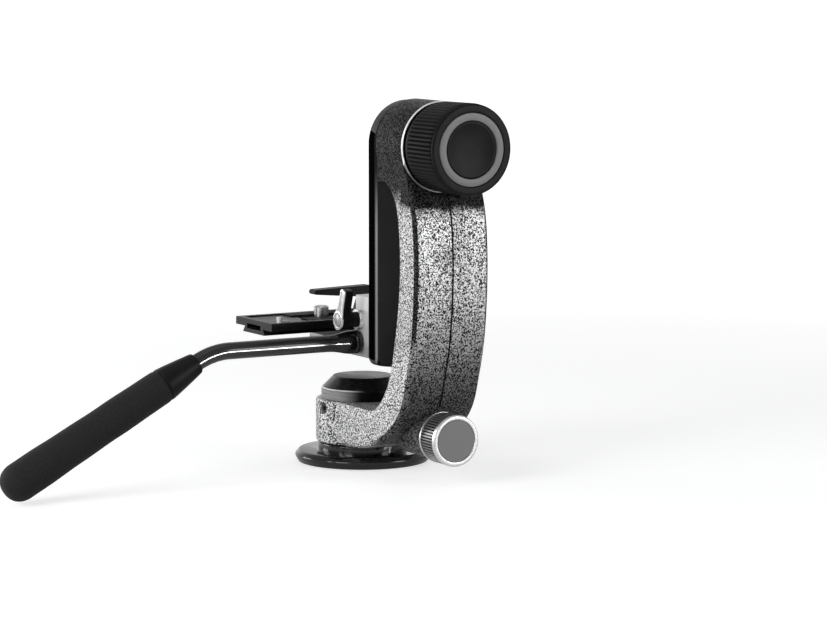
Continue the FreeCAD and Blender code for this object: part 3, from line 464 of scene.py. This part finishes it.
# Even metal whose fine grain varies its colour and gloss.
def grainFinish(name, s):
    f = Finish(name, Metallic=s["metal"], Specular_IOR_Level=s["mirror"])
    grain = f.noise(s["grain"], detail=s["detail"], roughness=s["uneven"])
    f.setColour(f.vary(grain, s["colour"]))
    f.setRoughness(f.vary(grain, s["rough"]))
    if s["relief"]:
        f.setNormal(f.bump(grain, *s["relief"]))
    return f.material


finishes = {
    "hammertone": hammertoneFinish(),
    "black_anodised": satinBlackFinish(),
    "black_gloss": polishedBlackFinish("glossBlackPaint", 0.45, (0.005, 0.008), (0.10, 0.16)),
    "flange": polishedBlackFinish("flangeGlossBlack", 0.55, (0.004, 0.006), (0.10, 0.15)),
    "silver": silverFinish(),
    "rubber": rubberFinish(),
    "foam": foamFinish(),
    "black_plastic": plasticFinish(),
    "swingPlate": swingPlateFinish(),
    "bracket": bracketFinish(),
    "panCap": panCapFinish(),
    "lockGrip": lockGripFinish(),
    "grey_anodised": grainFinish("greyAnodised", {
        "metal": 0.55, "mirror": 0.5, "grain": 1900.0, "detail": 3.0, "uneven": 0.7,
        "colour": (0.085, 0.115), "rough": (0.38, 0.50), "relief": (0.000015, 0.5)}),
    "lockDisc": grainFinish("lockKnobGreyDisc", {
        "metal": 0.3, "mirror": 0.5, "grain": 2200.0, "detail": 3.0, "uneven": 0.7,
        "colour": (0.165, 0.21), "rough": (0.5, 0.6), "relief": (0.000015, 0.6)}),
    "steel": grainFinish("turnedSteel", {
        "metal": 1.0, "mirror": 0.5, "grain": 900.0, "detail": 3.0, "uneven": 0.5,
        "colour": (0.50, 0.58), "rough": (0.24, 0.36), "relief": (0.00001, 0.5)}),
    "brass": grainFinish("turnedBrass", {
        "metal": 1.0, "mirror": 0.5, "grain": 900.0, "detail": 3.0, "uneven": 0.5,
        "colour": ((0.52, 0.38, 0.14), (0.64, 0.49, 0.22)), "rough": (0.28, 0.42),
        "relief": None}),
    "leverInlay": grainFinish("leverGreyInlay", {
        "metal": 0.6, "mirror": 0.5, "grain": 1500.0, "detail": 3.0, "uneven": 0.5,
        "colour": (0.30, 0.42), "rough": (0.30, 0.42), "relief": None}),
    "recessDark": grainFinish("darkSocketScrew", {
        "metal": 0.4, "mirror": 0.3, "grain": 1800.0, "detail": 2.0, "uneven": 0.5,
        "colour": (0.02, 0.035), "rough": (0.3, 0.4), "relief": None}),
    "buttonGrey": grainFinish("plateButtonGrey", {
        "metal": 0.3, "mirror": 0.5, "grain": 1600.0, "detail": 2.0, "uneven": 0.5,
        "colour": (0.05, 0.08), "rough": (0.35, 0.45), "relief": None}),
}
print("finishes made:", len(finishes))


nodeBody = {n: body for body, names in frame["record"]["behaviour"]["bodies"].items()
            for n in names}
nodeSlot = {s["node"]: s["material_slot"] for s in frame["record"]["subparts"]}


def newPiece(name, builder, body, slotName, replaced=(), smoothAngle=35.0, finish=None):
    mesh = bpy.data.meshes.new(name)
    bmesh.ops.recalc_face_normals(builder, faces=builder.faces)
    builder.to_mesh(mesh)
    builder.free()
    piece = bpy.data.objects.new(name, mesh)
    bpy.context.scene.collection.objects.link(piece)
    mesh.polygons.foreach_set("use_smooth", [True] * len(mesh.polygons))
    mesh.set_sharp_from_angle(angle=math.radians(smoothAngle))
    mesh.materials.append(finish or finishes[slotName])
    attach(piece, body)
    if replaced:
        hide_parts(*replaced)
    return piece


def ringOf(builder, origin, side, up, radius, count):
    return [builder.verts.new(origin + side * (radius * math.cos(t)) + up * (radius * math.sin(t)))
            for t in [2 * math.pi * i / count for i in range(count)]]


def bridge(builder, first, second):
    count = len(first)
    for i in range(count):
        j = (i + 1) % count
        builder.faces.new((first[i], first[j], second[j], second[i]))


# Turns a profile of (distance, radius) pairs in mm round a line from start, in metres.
def lathe(profile, start, along, count=96, closeEnds=True):
    builder = bmesh.new()
    along = Vector(along).normalized()
    side = along.orthogonal().normalized()
    up = along.cross(side)
    loops = []
    for distance, radius in profile:
        origin = Vector(start) + along * (distance * mm)
        loops.append(ringOf(builder, origin, side, up, radius * mm, count))
    for first, second in zip(loops, loops[1:]):
        bridge(builder, first, second)
    if closeEnds:
        builder.faces.new(list(reversed(loops[0])))
        builder.faces.new(loops[-1])
    return builder


# Profile whose back pairs are measured on from start and whose front pairs back from end.
def profileOf(start, end, back, front):
    return [(start + on, radius) for on, radius in back] + [(end - off, r) for off, r in front]


# Replaces each corner by a short curve that takes at most a share of the sides beside it.
def rounded(points, radius, steps=3, share=0.45):
    out = [points[0]]
    for before, corner, after in zip(points, points[1:], points[2:]):
        a, b, c = Vector(before), Vector(corner), Vector(after)
        toA, toC = a - b, c - b
        reach = min(radius, toA.length * share, toC.length * share)
        p, q = b + toA.normalized() * reach, b + toC.normalized() * reach
        for i in range(steps + 1):
            t = i / steps
            point = p * (1 - t) ** 2 + b * (2 * t * (1 - t)) + q * t ** 2
            out.append((point.x, point.y))
    out.append(points[-1])
    return out


# One closed loop of points round X, drawn in by depth at each groove between two ribs.
def groovedLoop(builder, s, x, centre, radius, depth):
    count = s["ribs"] * s["perRib"]
    loop = []
    for i in range(count):
        phase = (i % s["perRib"]) / s["perRib"]
        wave = max(0.0, math.cos(2 * math.pi * phase)) ** s["grooveShape"]
        reach = (radius - depth * wave) * mm
        angle = 2 * math.pi * i / count
        loop.append(builder.verts.new((x, centre.y + reach * math.cos(angle),
                                       centre.z + reach * math.sin(angle))))
    return loop


# Placed by the pixel where the origin shows and by how many pixels 1 mm covers there.
def makeCamera():
    view = {"azimuth": 60.0, "pitch": 6.93, "focalPixels": 3226.0, "imageWidth": 827.0,
            "imageHeight": 634.0, "pixelsPerMm": 1.562, "originPixel": (363.0, 459.1),
            "sensor": 36.0, "nearest": 0.05, "farthest": 50.0}
    a, e = math.radians(view["azimuth"]), math.radians(view["pitch"])
    back = Vector((math.sin(a) * math.cos(e), -math.cos(a) * math.cos(e), math.sin(e)))
    right = Vector((math.cos(a), math.sin(a), 0.0))
    up = back.cross(right)
    distance = view["focalPixels"] / view["pixelsPerMm"] * mm
    acrossPixels = view["originPixel"][0] - view["imageWidth"] / 2
    downPixels = view["originPixel"][1] - view["imageHeight"] / 2
    shift = right * (acrossPixels / view["focalPixels"]) - up * (downPixels / view["focalPixels"])
    place = back * distance - shift * distance
    data = bpy.data.cameras.new("productCamera")
    data.sensor_width = view["sensor"]
    data.lens = view["focalPixels"] / view["imageWidth"] * view["sensor"]
    data.clip_start = view["nearest"]
    data.clip_end = view["farthest"]
    camera = bpy.data.objects.new("productCamera", data)
    bpy.context.scene.collection.objects.link(camera)
    basis = Matrix((right, up, back)).transposed()
    camera.matrix_world = Matrix.Translation(place) @ basis.to_4x4()
    bpy.context.scene.camera = camera


makeCamera()
print("camera placed")


# Width in mm of the rounding on each node's edges.
softEdges = {
    "yoke_arm": 0.25, "swing_plate": 0.25, "carriage": 0.35,
    "clamp_bed": 0.3, "clamp_jaw": 0.3, "release_plate": 0.22, "pan_cap": 0.3,
    "base_flange": 0.3, "rail_stop": 0.3, "plate_pads": 0.2, "clamp_lever": 0.5,
    "lens_screw_front": 0.15, "lens_screw_rear": 0.15, "stop_pin": 0.3, "lever_collar": 0.3,
    "hub_cover": 0.2, "bar_nut": 0.3, "pan_lock_collar": 0.25, "clamp_rod": 0.2,
}

# Nodes whose finish differs from the rest of their slot.
ownFinish = {"swing_plate": "swingPlate", "lever_collar": "silver", "side_screw": "recessDark",
             "plate_button": "buttonGrey", "pan_cap": "panCap", "base_flange": "flange",
             "carriage": "bracket"}


def finishOf(name):
    return finishes[ownFinish.get(name, nodeSlot[name])]


# A copy of a node's mesh with rounded edges, which stands for the node.
def softened(nodeName, width):
    s = {"weld": 0.000002, "flatAngle": 0.6, "smoothAngle": 40.0, "segments": 2,
         "edgeAngle": 28.0}
    builder = bmesh.new()
    builder.from_mesh(nodes[nodeName].data)
    bmesh.ops.remove_doubles(builder, verts=builder.verts, dist=s["weld"])
    bmesh.ops.dissolve_limit(builder, angle_limit=math.radians(s["flatAngle"]),
                             verts=builder.verts, edges=builder.edges)
    piece = newPiece(nodeName + ".soft", builder, nodeBody[nodeName], nodeSlot[nodeName],
                     (nodeName,), smoothAngle=s["smoothAngle"], finish=finishOf(nodeName))
    bevel = piece.modifiers.new("roundedEdges", "BEVEL")
    bevel.width = width
    bevel.segments = s["segments"]
    bevel.limit_method = "ANGLE"
    bevel.angle_limit = math.radians(s["edgeAngle"])
    bevel.harden_normals = True
    bevel.use_clamp_overlap = True


def dressNodes():
    for name, node in nodes.items():
        node.data.materials.clear()
        node.data.materials.append(finishOf(name))
    for name, width in softEdges.items():
        softened(name, width * mm)


dressNodes()
print("nodes dressed:", len(nodes))


# Rubber skirt; the edges are (distance from the back or front face, how far drawn in).
def makeTiltKnob():
    s = {"ribs": knobRibs, "perRib": 8, "ribDepth": 0.85, "grooveShape": 0.6, "shallow": 0.35,
         "backRadius": 27.5, "frontRadius": 27.9, "start": 2.4, "seat": 1.4,
         "backEdge": ((0.0, 1.6), (0.25, 0.7), (0.8, 0.15), (1.6, 0.0)),
         "middle": (0.25, 0.5, 0.75),
         "frontEdge": ((1.5, 0.0), (0.7, 0.2), (0.2, 0.7), (0.0, 1.5))}
    low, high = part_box("tilt_knob_rubber")
    centre = (low + high) / 2
    coreLow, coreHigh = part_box("tilt_knob_core")
    low.x += s["start"] * mm
    length = (high.x - low.x) / mm
    stations = list(s["backEdge"]) + [(length * share, 0.0) for share in s["middle"]]
    stations += [(length - off, inset) for off, inset in s["frontEdge"]]
    builder = bmesh.new()
    loops = []
    for along, inset in stations:
        radius = s["backRadius"] + (s["frontRadius"] - s["backRadius"]) * along / length - inset
        depth = s["ribDepth"] * (s["shallow"] + (1 - s["shallow"]) * min(1.0, 1 - inset))
        loops.append(groovedLoop(builder, s, low.x + along * mm, centre, radius, depth))
    inner = (coreHigh.z - coreLow.z) / 2 / mm - s["seat"]
    for x in (high.x, low.x):
        loops.append(groovedLoop(builder, s, x, centre, inner, 0.0))
    for first, second in zip(loops, loops[1:] + loops[:1]):
        bridge(builder, first, second)
    newPiece("tiltKnobSkirt", builder, "tilt_knob", "rubber", ("tilt_knob_rubber",),
             smoothAngle=50.0)


# Turned parts of the knob, as (distance from the back or front face, radius) in mm.
def makeTiltKnobFace():
    s = {"sides": 128, "bodyRounding": 0.25, "ringRounding": 0.15, "weld": 1e-7,
         "bodyBack": ((0.2, 9.2), (0.0, 9.6), (0.0, 25.6), (0.5, 26.1)),
         "bodyFront": ((1.9, 26.1), (1.8, 27.0), (1.3, 27.6), (0.75, 27.55), (0.25, 27.0),
                       (0.0, 26.2), (0.0, 22.9), (0.35, 22.4), (1.6, 22.36), (1.6, 17.5),
                       (3.0, 17.42), (3.0, 9.2)),
         "ringBack": ((0.0, 17.45), (0.0, 22.3)),
         "ringFront": ((0.35, 22.3), (0.0, 21.95), (0.0, 17.75), (0.3, 17.45)),
         "discBack": ((0.0, 17.3),),
         "discFront": ((0.5, 17.3), (0.1, 17.0), (0.0, 16.6), (0.0, 15.6), (0.12, 15.3),
                       (0.12, 3.0), (0.12, 0.4))}
    low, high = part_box("tilt_knob_core")
    axisY, axisZ = (low.y + high.y) / 2, (low.z + high.z) / 2
    profile = profileOf(0.0, (high.x - low.x) / mm, s["bodyBack"], s["bodyFront"])
    builder = lathe(rounded(profile, s["bodyRounding"]), (low.x, axisY, axisZ), (1, 0, 0),
                    s["sides"])
    newPiece("tiltKnobBody", builder, "tilt_knob", "black_plastic", ("tilt_knob_core",),
             smoothAngle=30.0)
    low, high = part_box("tilt_knob_ring")
    profile = profileOf(0.0, (high.x - low.x) / mm, s["ringBack"], s["ringFront"])
    profile.append(profile[0])
    builder = lathe(rounded(profile, s["ringRounding"]), (low.x, axisY, axisZ), (1, 0, 0),
                    s["sides"], closeEnds=False)
    bmesh.ops.remove_doubles(builder, verts=builder.verts, dist=s["weld"])
    newPiece("tiltKnobRing", builder, "tilt_knob", "grey_anodised", ("tilt_knob_ring",),
             smoothAngle=30.0)
    low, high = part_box("tilt_knob_disc")
    profile = profileOf(0.0, (high.x - low.x) / mm, s["discBack"], s["discFront"])
    builder = lathe(profile, (low.x, axisY, axisZ), (1, 0, 0), s["sides"])
    newPiece("tiltKnobDisc", builder, "tilt_knob", "black_plastic", ("tilt_knob_disc",),
             smoothAngle=30.0)


makeTiltKnob()
makeTiltKnobFace()
print("tilt knob made")


# Fluted grip, silver rim and grey disc, in mm; the rim starts at the grip's end.
def makeLockKnob():
    s = {"ribs": lockFlutes, "perRib": 8, "ribDepth": 0.75, "grooveShape": 0.7, "radius": 15.7,
         "rimLength": 3.0, "rimRounding": 0.18, "sides": 128,
         "backEdge": ((0.0, 0.9), (0.3, 0.3), (0.9, 0.0)), "middle": 0.5,
         "frontEdge": ((0.2, 0.0), (0.0, 0.4)),
         "rimBack": ((0.02, 12.0), (0.02, 15.3), (0.3, 15.9)),
         "rimFront": ((0.8, 15.9), (0.0, 15.0), (0.0, 13.4), (0.25, 13.1), (0.9, 13.05),
                      (0.9, 12.0)),
         "disc": ((0.88, 12.85), (0.35, 12.85), (0.2, 12.7), (0.2, 1.0))}
    low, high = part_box("pan_lock_knob")
    centre = (low + high) / 2
    length = (high.x - low.x) / mm
    gripEnd = length - s["rimLength"]
    stations = list(s["backEdge"]) + [(gripEnd * s["middle"], 0.0)]
    stations += [(gripEnd - off, inset) for off, inset in s["frontEdge"]]
    builder = bmesh.new()
    loops = [groovedLoop(builder, s, low.x + along * mm, centre, s["radius"] - inset, s["ribDepth"])
             for along, inset in stations]
    for first, second in zip(loops, loops[1:]):
        bridge(builder, first, second)
    builder.faces.new(loops[0])
    builder.faces.new(list(reversed(loops[-1])))
    newPiece("lockKnobGrip", builder, "pan_lock", "grey_anodised", ("pan_lock_knob",),
             smoothAngle=50.0, finish=finishes["lockGrip"])
    start = (low.x, centre.y, centre.z)
    rim = rounded(profileOf(gripEnd, length, s["rimBack"], s["rimFront"]), s["rimRounding"])
    builder = lathe(rim, start, (1, 0, 0), s["sides"])
    newPiece("lockKnobRim", builder, "pan_lock", "silver", smoothAngle=30.0)
    builder = lathe(profileOf(0.0, length, (), s["disc"]), start, (1, 0, 0), s["sides"])
    newPiece("lockKnobDisc", builder, "pan_lock", "grey_anodised", ("pan_lock_disc",),
             smoothAngle=30.0, finish=finishes["lockDisc"])


makeLockKnob()
print("pan lock knob made")


# The bar in mm: it leaves its nut towards -Y, and one bend turns it down to the grip.
barSize = {"x": 40.6, "z": 82.2, "bendY": -126.8, "drop": 28.3, "bend": 46.0, "bendSteps": 16,
           "radius": 5.25, "faceY": -25.8, "nut": 5.2, "inSleeve": 20.0, "sides": 48,
           "cone": ((0.0, 7.4), (2.0, 7.35), (5.0, 6.9), (9.0, 6.05), (13.0, 5.45), (17.0, 5.25))}


def barLine():
    s = barSize
    drop = math.radians(s["drop"])
    down = Vector((0, -math.cos(drop), -math.sin(drop)))
    tangent = s["bend"] * math.tan(drop / 2)
    corner = Vector((s["x"], s["bendY"], s["z"]))
    centre = corner + Vector((0, tangent, -s["bend"]))
    line = [Vector((s["x"], s["faceY"] - s["nut"], s["z"]))]
    line += [centre + Vector((0, -math.sin(t), math.cos(t))) * s["bend"]
             for t in [drop * i / s["bendSteps"] for i in range(s["bendSteps"] + 1)]]
    return line, corner + down * tangent, down


def makePanBar():
    s = barSize
    line, bendEnd, down = barLine()
    line.append(bendEnd + down * s["inSleeve"])
    builder = bmesh.new()
    side = Vector((1, 0, 0))
    stations = [(line[0] - Vector((0, along, 0)), Vector((0, 0, 1)), radius)
                for along, radius in s["cone"]]
    for before, here, after in zip(line, line[1:], line[2:]):
        stations.append((here, (after - before).normalized().cross(side), s["radius"]))
    stations.append((line[-1], down.cross(side), s["radius"]))
    loops = [ringOf(builder, place * mm, side, up, radius * mm, s["sides"])
             for place, up, radius in stations]
    for first, second in zip(loops, loops[1:]):
        bridge(builder, first, second)
    builder.faces.new(loops[0])
    builder.faces.new(loops[-1])
    newPiece("panBarTube", builder, "pan_bar", "black_gloss", ("pan_bar",), smoothAngle=50.0)


# Profile in mm from the end of the bar's bend.
def makeSleeve():
    s = {"profile": ((1.0, 5.3), (1.0, 6.1), (1.5, 6.65), (3.0, 7.0), (12.0, 8.5), (20.0, 9.75),
                     (25.5, 10.45), (26.6, 10.35), (26.9, 9.6)), "rounding": 0.5}
    _, bendEnd, down = barLine()
    builder = lathe(rounded(s["profile"], s["rounding"]), bendEnd * mm, down)
    newPiece("gripSleeve", builder, "pan_bar", "black_plastic", ("bar_sleeve",), smoothAngle=50.0)


# Foam grip that widens towards its round end; the swells are (height, pace, phase).
def makeGrip():
    s = {"start": 26.9, "lip": ((0.0, 9.7), (0.5, 10.2)), "lipLength": 1.5, "startRadius": 10.5,
         "endRadius": 11.8, "length": 118.0, "rings": 90, "endShare": 12.0, "endLength": 11.6,
         "endRings": 15, "endShape": 0.8, "swells": ((0.12, 9.0, 0.0), (0.07, 23.0, 1.0)),
         "sides": 72}
    _, bendEnd, down = barLine()
    profile = [(s["start"] + on, radius) for on, radius in s["lip"]]
    body = s["length"] - s["endShare"]
    first = s["lipLength"]
    for i in range(s["rings"] + 1):
        t = i / s["rings"]
        swell = sum(height * math.sin(t * pace + phase) for height, pace, phase in s["swells"])
        radius = s["startRadius"] + (s["endRadius"] - s["startRadius"]) * t + swell
        profile.append((s["start"] + first + (body - first) * t, radius))
    lastRadius = profile[-1][1]
    for i in range(1, s["endRings"]):
        t = math.pi / 2 * i / s["endRings"]
        profile.append((s["start"] + body + s["endLength"] * math.sin(t),
                        lastRadius * math.cos(t) ** s["endShape"]))
    builder = lathe(profile, bendEnd * mm, down, s["sides"])
    newPiece("foamGrip", builder, "pan_bar", "foam", ("bar_grip",), smoothAngle=60.0)


makePanBar()
makeSleeve()
makeGrip()
print("pan bar made")


# In mm: the shells are (inset from the outline, depth in Y), the turned parts (depth, radius).
leverSize = {
    "x": 42.3, "z": 96.4, "reach": 20.5, "lean": 19.0, "eye": 5.9, "eyeOpens": 47.0,
    "eyeSteps": 32, "tip": 2.9, "corner": 1.3, "leastCorner": 0.25, "cornerSteps": 6,
    "waist": ((6.0, 3.85), (8.0, 3.4), (11.0, 3.1), (14.5, 2.95)),
    "body": ((0.7, 6.8), (0.2, 6.4), (0.0, 5.6), (0.0, 1.0)),
    "rim": ((0.0, 1.0), (0.0, 0.4), (0.18, 0.1), (0.4, 0.0), (1.25, 0.0), (1.4, 0.3)),
    "inlay": ((1.37, 0.31), (1.45, 0.29)),
    "neck": ((6.3, 5.6), (9.3, 5.6), (9.8, 5.0), (9.8, 4.8), (12.4, 4.8), (12.6, 4.5)),
    "ring": ((0.3, 4.2), (-0.04, 4.2), (-0.14, 4.4), (-0.14, 5.6), (0.0, 5.85), (0.6, 5.85)),
    "screwHead": ((-0.25, 0.3), (-0.25, 3.2), (-0.1, 3.5), (0.1, 3.6), (0.6, 3.6)),
    "neckRounding": 0.2, "sides": 64,
}


# Outline of eye and blade round the lever's axis, drawn in by inset.
def leverOutline(inset):
    s = leverSize
    lean = math.radians(s["lean"])
    along = Vector((math.sin(lean), 0, math.cos(lean)))
    side = Vector((along.z, 0, -along.x))
    eye, tip, reach = s["eye"] - inset, s["tip"] - inset, s["reach"] - inset
    corner = max(s["leastCorner"], s["corner"] - inset * 0.5)
    begin = math.radians(s["eyeOpens"])
    loop = []
    for i in range(s["eyeSteps"] + 1):
        t = begin + (2 * math.pi - 2 * begin) * i / s["eyeSteps"]
        loop.append(along * (math.cos(t) * eye) + side * (math.sin(t) * eye))
    edge = [(d, w - inset) for d, w in s["waist"]] + [(reach - corner, tip)]
    for i in range(1, s["cornerSteps"]):
        t = math.pi / 2 * i / s["cornerSteps"]
        edge.append((reach - corner + corner * math.sin(t), tip - corner + corner * math.cos(t)))
    loop += [along * d - side * w for d, w in edge]
    loop += [along * d + side * w for d, w in reversed(edge)]
    return loop


def leverShell(name, centre, levels, slotName, replaced=(), finish=None):
    builder = bmesh.new()
    loops = [[builder.verts.new((centre + p + Vector((0, y, 0))) * mm) for p in leverOutline(inset)]
             for inset, y in levels]
    for first, second in zip(loops, loops[1:]):
        bridge(builder, first, second)
    for loop in (loops[0], loops[-1]):
        builder.faces.new(loop)
    newPiece(name, builder, "height_lever", slotName, replaced, finish=finish)


def makeHeightLever():
    s = leverSize
    centre = Vector((s["x"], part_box("height_lever")[0].y / mm, s["z"]))
    leverShell("leverBody", centre, s["body"], "black_plastic", ("height_lever",))
    leverShell("leverRim", centre, s["rim"], "silver")
    leverShell("leverFace", centre, s["inlay"], "black_plastic", (), finishes["leverInlay"])
    start = centre * mm
    builder = lathe(rounded(s["neck"], s["neckRounding"]), start, (0, 1, 0), s["sides"])
    newPiece("leverNeck", builder, "height_lever", "black_plastic")
    builder = lathe(s["ring"], start, (0, 1, 0), s["sides"], closeEnds=False)
    newPiece("leverRing", builder, "height_lever", "silver")
    builder = lathe(s["screwHead"], start, (0, 1, 0), s["sides"])
    newPiece("leverScrewHead", builder, "height_lever", "steel", (), finish=finishes["leverInlay"])


makeHeightLever()
print("height lever made")


# One for camera and transmission rays, a share of it for glossy rays, else zero.
def whiteRays(tree, mirror):
    path = tree.nodes.new("ShaderNodeLightPath").outputs
    direct = mathNode(tree, "MAXIMUM", path["Is Camera Ray"], path["Is Transmission Ray"])
    share = mathNode(tree, "MULTIPLY", path["Is Glossy Ray"], mirror)
    return mathNode(tree, "MAXIMUM", direct, share)


# Pale floor that shows as white in the picture and keeps the shadow.
def makeFloor():
    s = {"half": 8.0, "drop": 0.0004, "colour": (0.59, 0.61), "rough": (0.58, 0.64),
         "cloud": 3.0, "gloss": 0.1, "near": 0.35, "far": 1.6, "liftNear": 0.60,
         "liftFar": 0.93, "mirror": 0.4}
    builder = bmesh.new()
    bmesh.ops.create_grid(builder, x_segments=1, y_segments=1, size=s["half"])
    mesh = bpy.data.meshes.new("studioFloor")
    builder.to_mesh(mesh)
    builder.free()
    floor = bpy.data.objects.new("studioFloor", mesh)
    floor.location.z = -s["drop"]
    bpy.context.scene.collection.objects.link(floor)
    f = Finish("paleFloor", Specular_IOR_Level=s["gloss"], Emission_Color=(1.0, 1.0, 1.0, 1.0))
    cloud = f.noise(s["cloud"])
    f.setColour(f.vary(cloud, s["colour"]))
    f.setRoughness(f.vary(cloud, s["rough"]))
    away = f.add("ShaderNodeVectorMath", operation="LENGTH")
    f.link(f.coords, away.inputs[0])
    lift = rangeNode(f.tree, away.outputs["Value"], s["near"], s["far"], s["liftNear"],
                     s["liftFar"])
    glow = f.product(whiteRays(f.tree, s["mirror"]), lift)
    f.link(glow, f.shader.inputs["Emission Strength"])
    mesh.materials.append(f.material)


# White backdrop behind the object, with a dimmer room on the camera's side in reflections.
def makeWorld():
    s = {"soft": 0.24, "tint": (0.96, 0.98, 1.0, 1.0), "backdrop": (-0.866, 0.5, 0.0),
         "edge": 0.45, "full": 0.9, "room": 0.22}
    world = bpy.data.worlds.new("studioWorld")
    bpy.context.scene.world = world
    world.use_nodes = True
    tree = world.node_tree
    tree.nodes.clear()
    facing = tree.nodes.new("ShaderNodeVectorMath")
    facing.operation = "DOT_PRODUCT"
    coords = tree.nodes.new("ShaderNodeTexCoord")
    tree.links.new(coords.outputs["Generated"], facing.inputs[0])
    facing.inputs[1].default_value = s["backdrop"]
    reach = rangeNode(tree, facing.outputs["Value"], s["edge"], s["full"], s["room"])
    mixer = tree.nodes.new("ShaderNodeMixShader")
    tree.links.new(whiteRays(tree, reach), mixer.inputs["Fac"])
    for index, colour, strength in ((1, s["tint"], s["soft"]), (2, (1.0, 1.0, 1.0, 1.0), 1.0)):
        light = tree.nodes.new("ShaderNodeBackground")
        light.inputs["Color"].default_value = colour
        light.inputs["Strength"].default_value = strength
        tree.links.new(light.outputs[0], mixer.inputs[index])
    out = tree.nodes.new("ShaderNodeOutputWorld")
    tree.links.new(mixer.outputs[0], out.inputs["Surface"])


# Size is width and height in metres.
lamps = {
    "keyLeft": {"place": (0.35, -1.35, 0.55), "aim": (0.05, -0.03, 0.08), "size": (0.9, 0.7),
                "power": 15.0},
    "leftCard": {"place": (-0.95, -0.75, 0.32), "aim": (0.04, -0.03, 0.09), "size": (0.5, 0.6),
                 "power": 4.5},
    "rightCard": {"place": (1.15, 0.72, 0.34), "aim": (0.06, 0.0, 0.12), "size": (0.5, 0.6),
                  "power": 6.5},
    "topSoft": {"place": (0.1, -0.1, 1.5), "aim": (0.04, -0.03, 0.12), "size": (1.0, 1.0),
                "power": 1.5},
    "barStrip": {"place": (0.36, 0.16, 0.012), "aim": (0.04, -0.08, 0.08), "size": (0.34, 0.08),
                 "power": 9.0},
}


def makeLamp(name):
    s = lamps[name]
    data = bpy.data.lights.new(name, "AREA")
    data.energy = s["power"]
    data.shape = "RECTANGLE"
    data.size, data.size_y = s["size"]
    lamp = bpy.data.objects.new(name, data)
    bpy.context.scene.collection.objects.link(lamp)
    lamp.location = s["place"]
    lamp.rotation_euler = (Vector(s["aim"]) - Vector(s["place"])).to_track_quat("-Z", "Y").to_euler()
    return lamp


def makeStudio():
    makeFloor()
    makeWorld()
    for name in lamps:
        lamp = makeLamp(name)
        if name == "barStrip":  # a low strip that only the pan bar shows, as a long highlight
            shown = bpy.data.collections.new("barStripShowsOn")
            shown.objects.link(bpy.data.objects["panBarTube"])
            lamp.light_linking.receiver_collection = shown
            lamp.visible_camera = False
    bpy.context.scene.view_settings.view_transform = "Standard"


makeStudio()
print("studio lit")
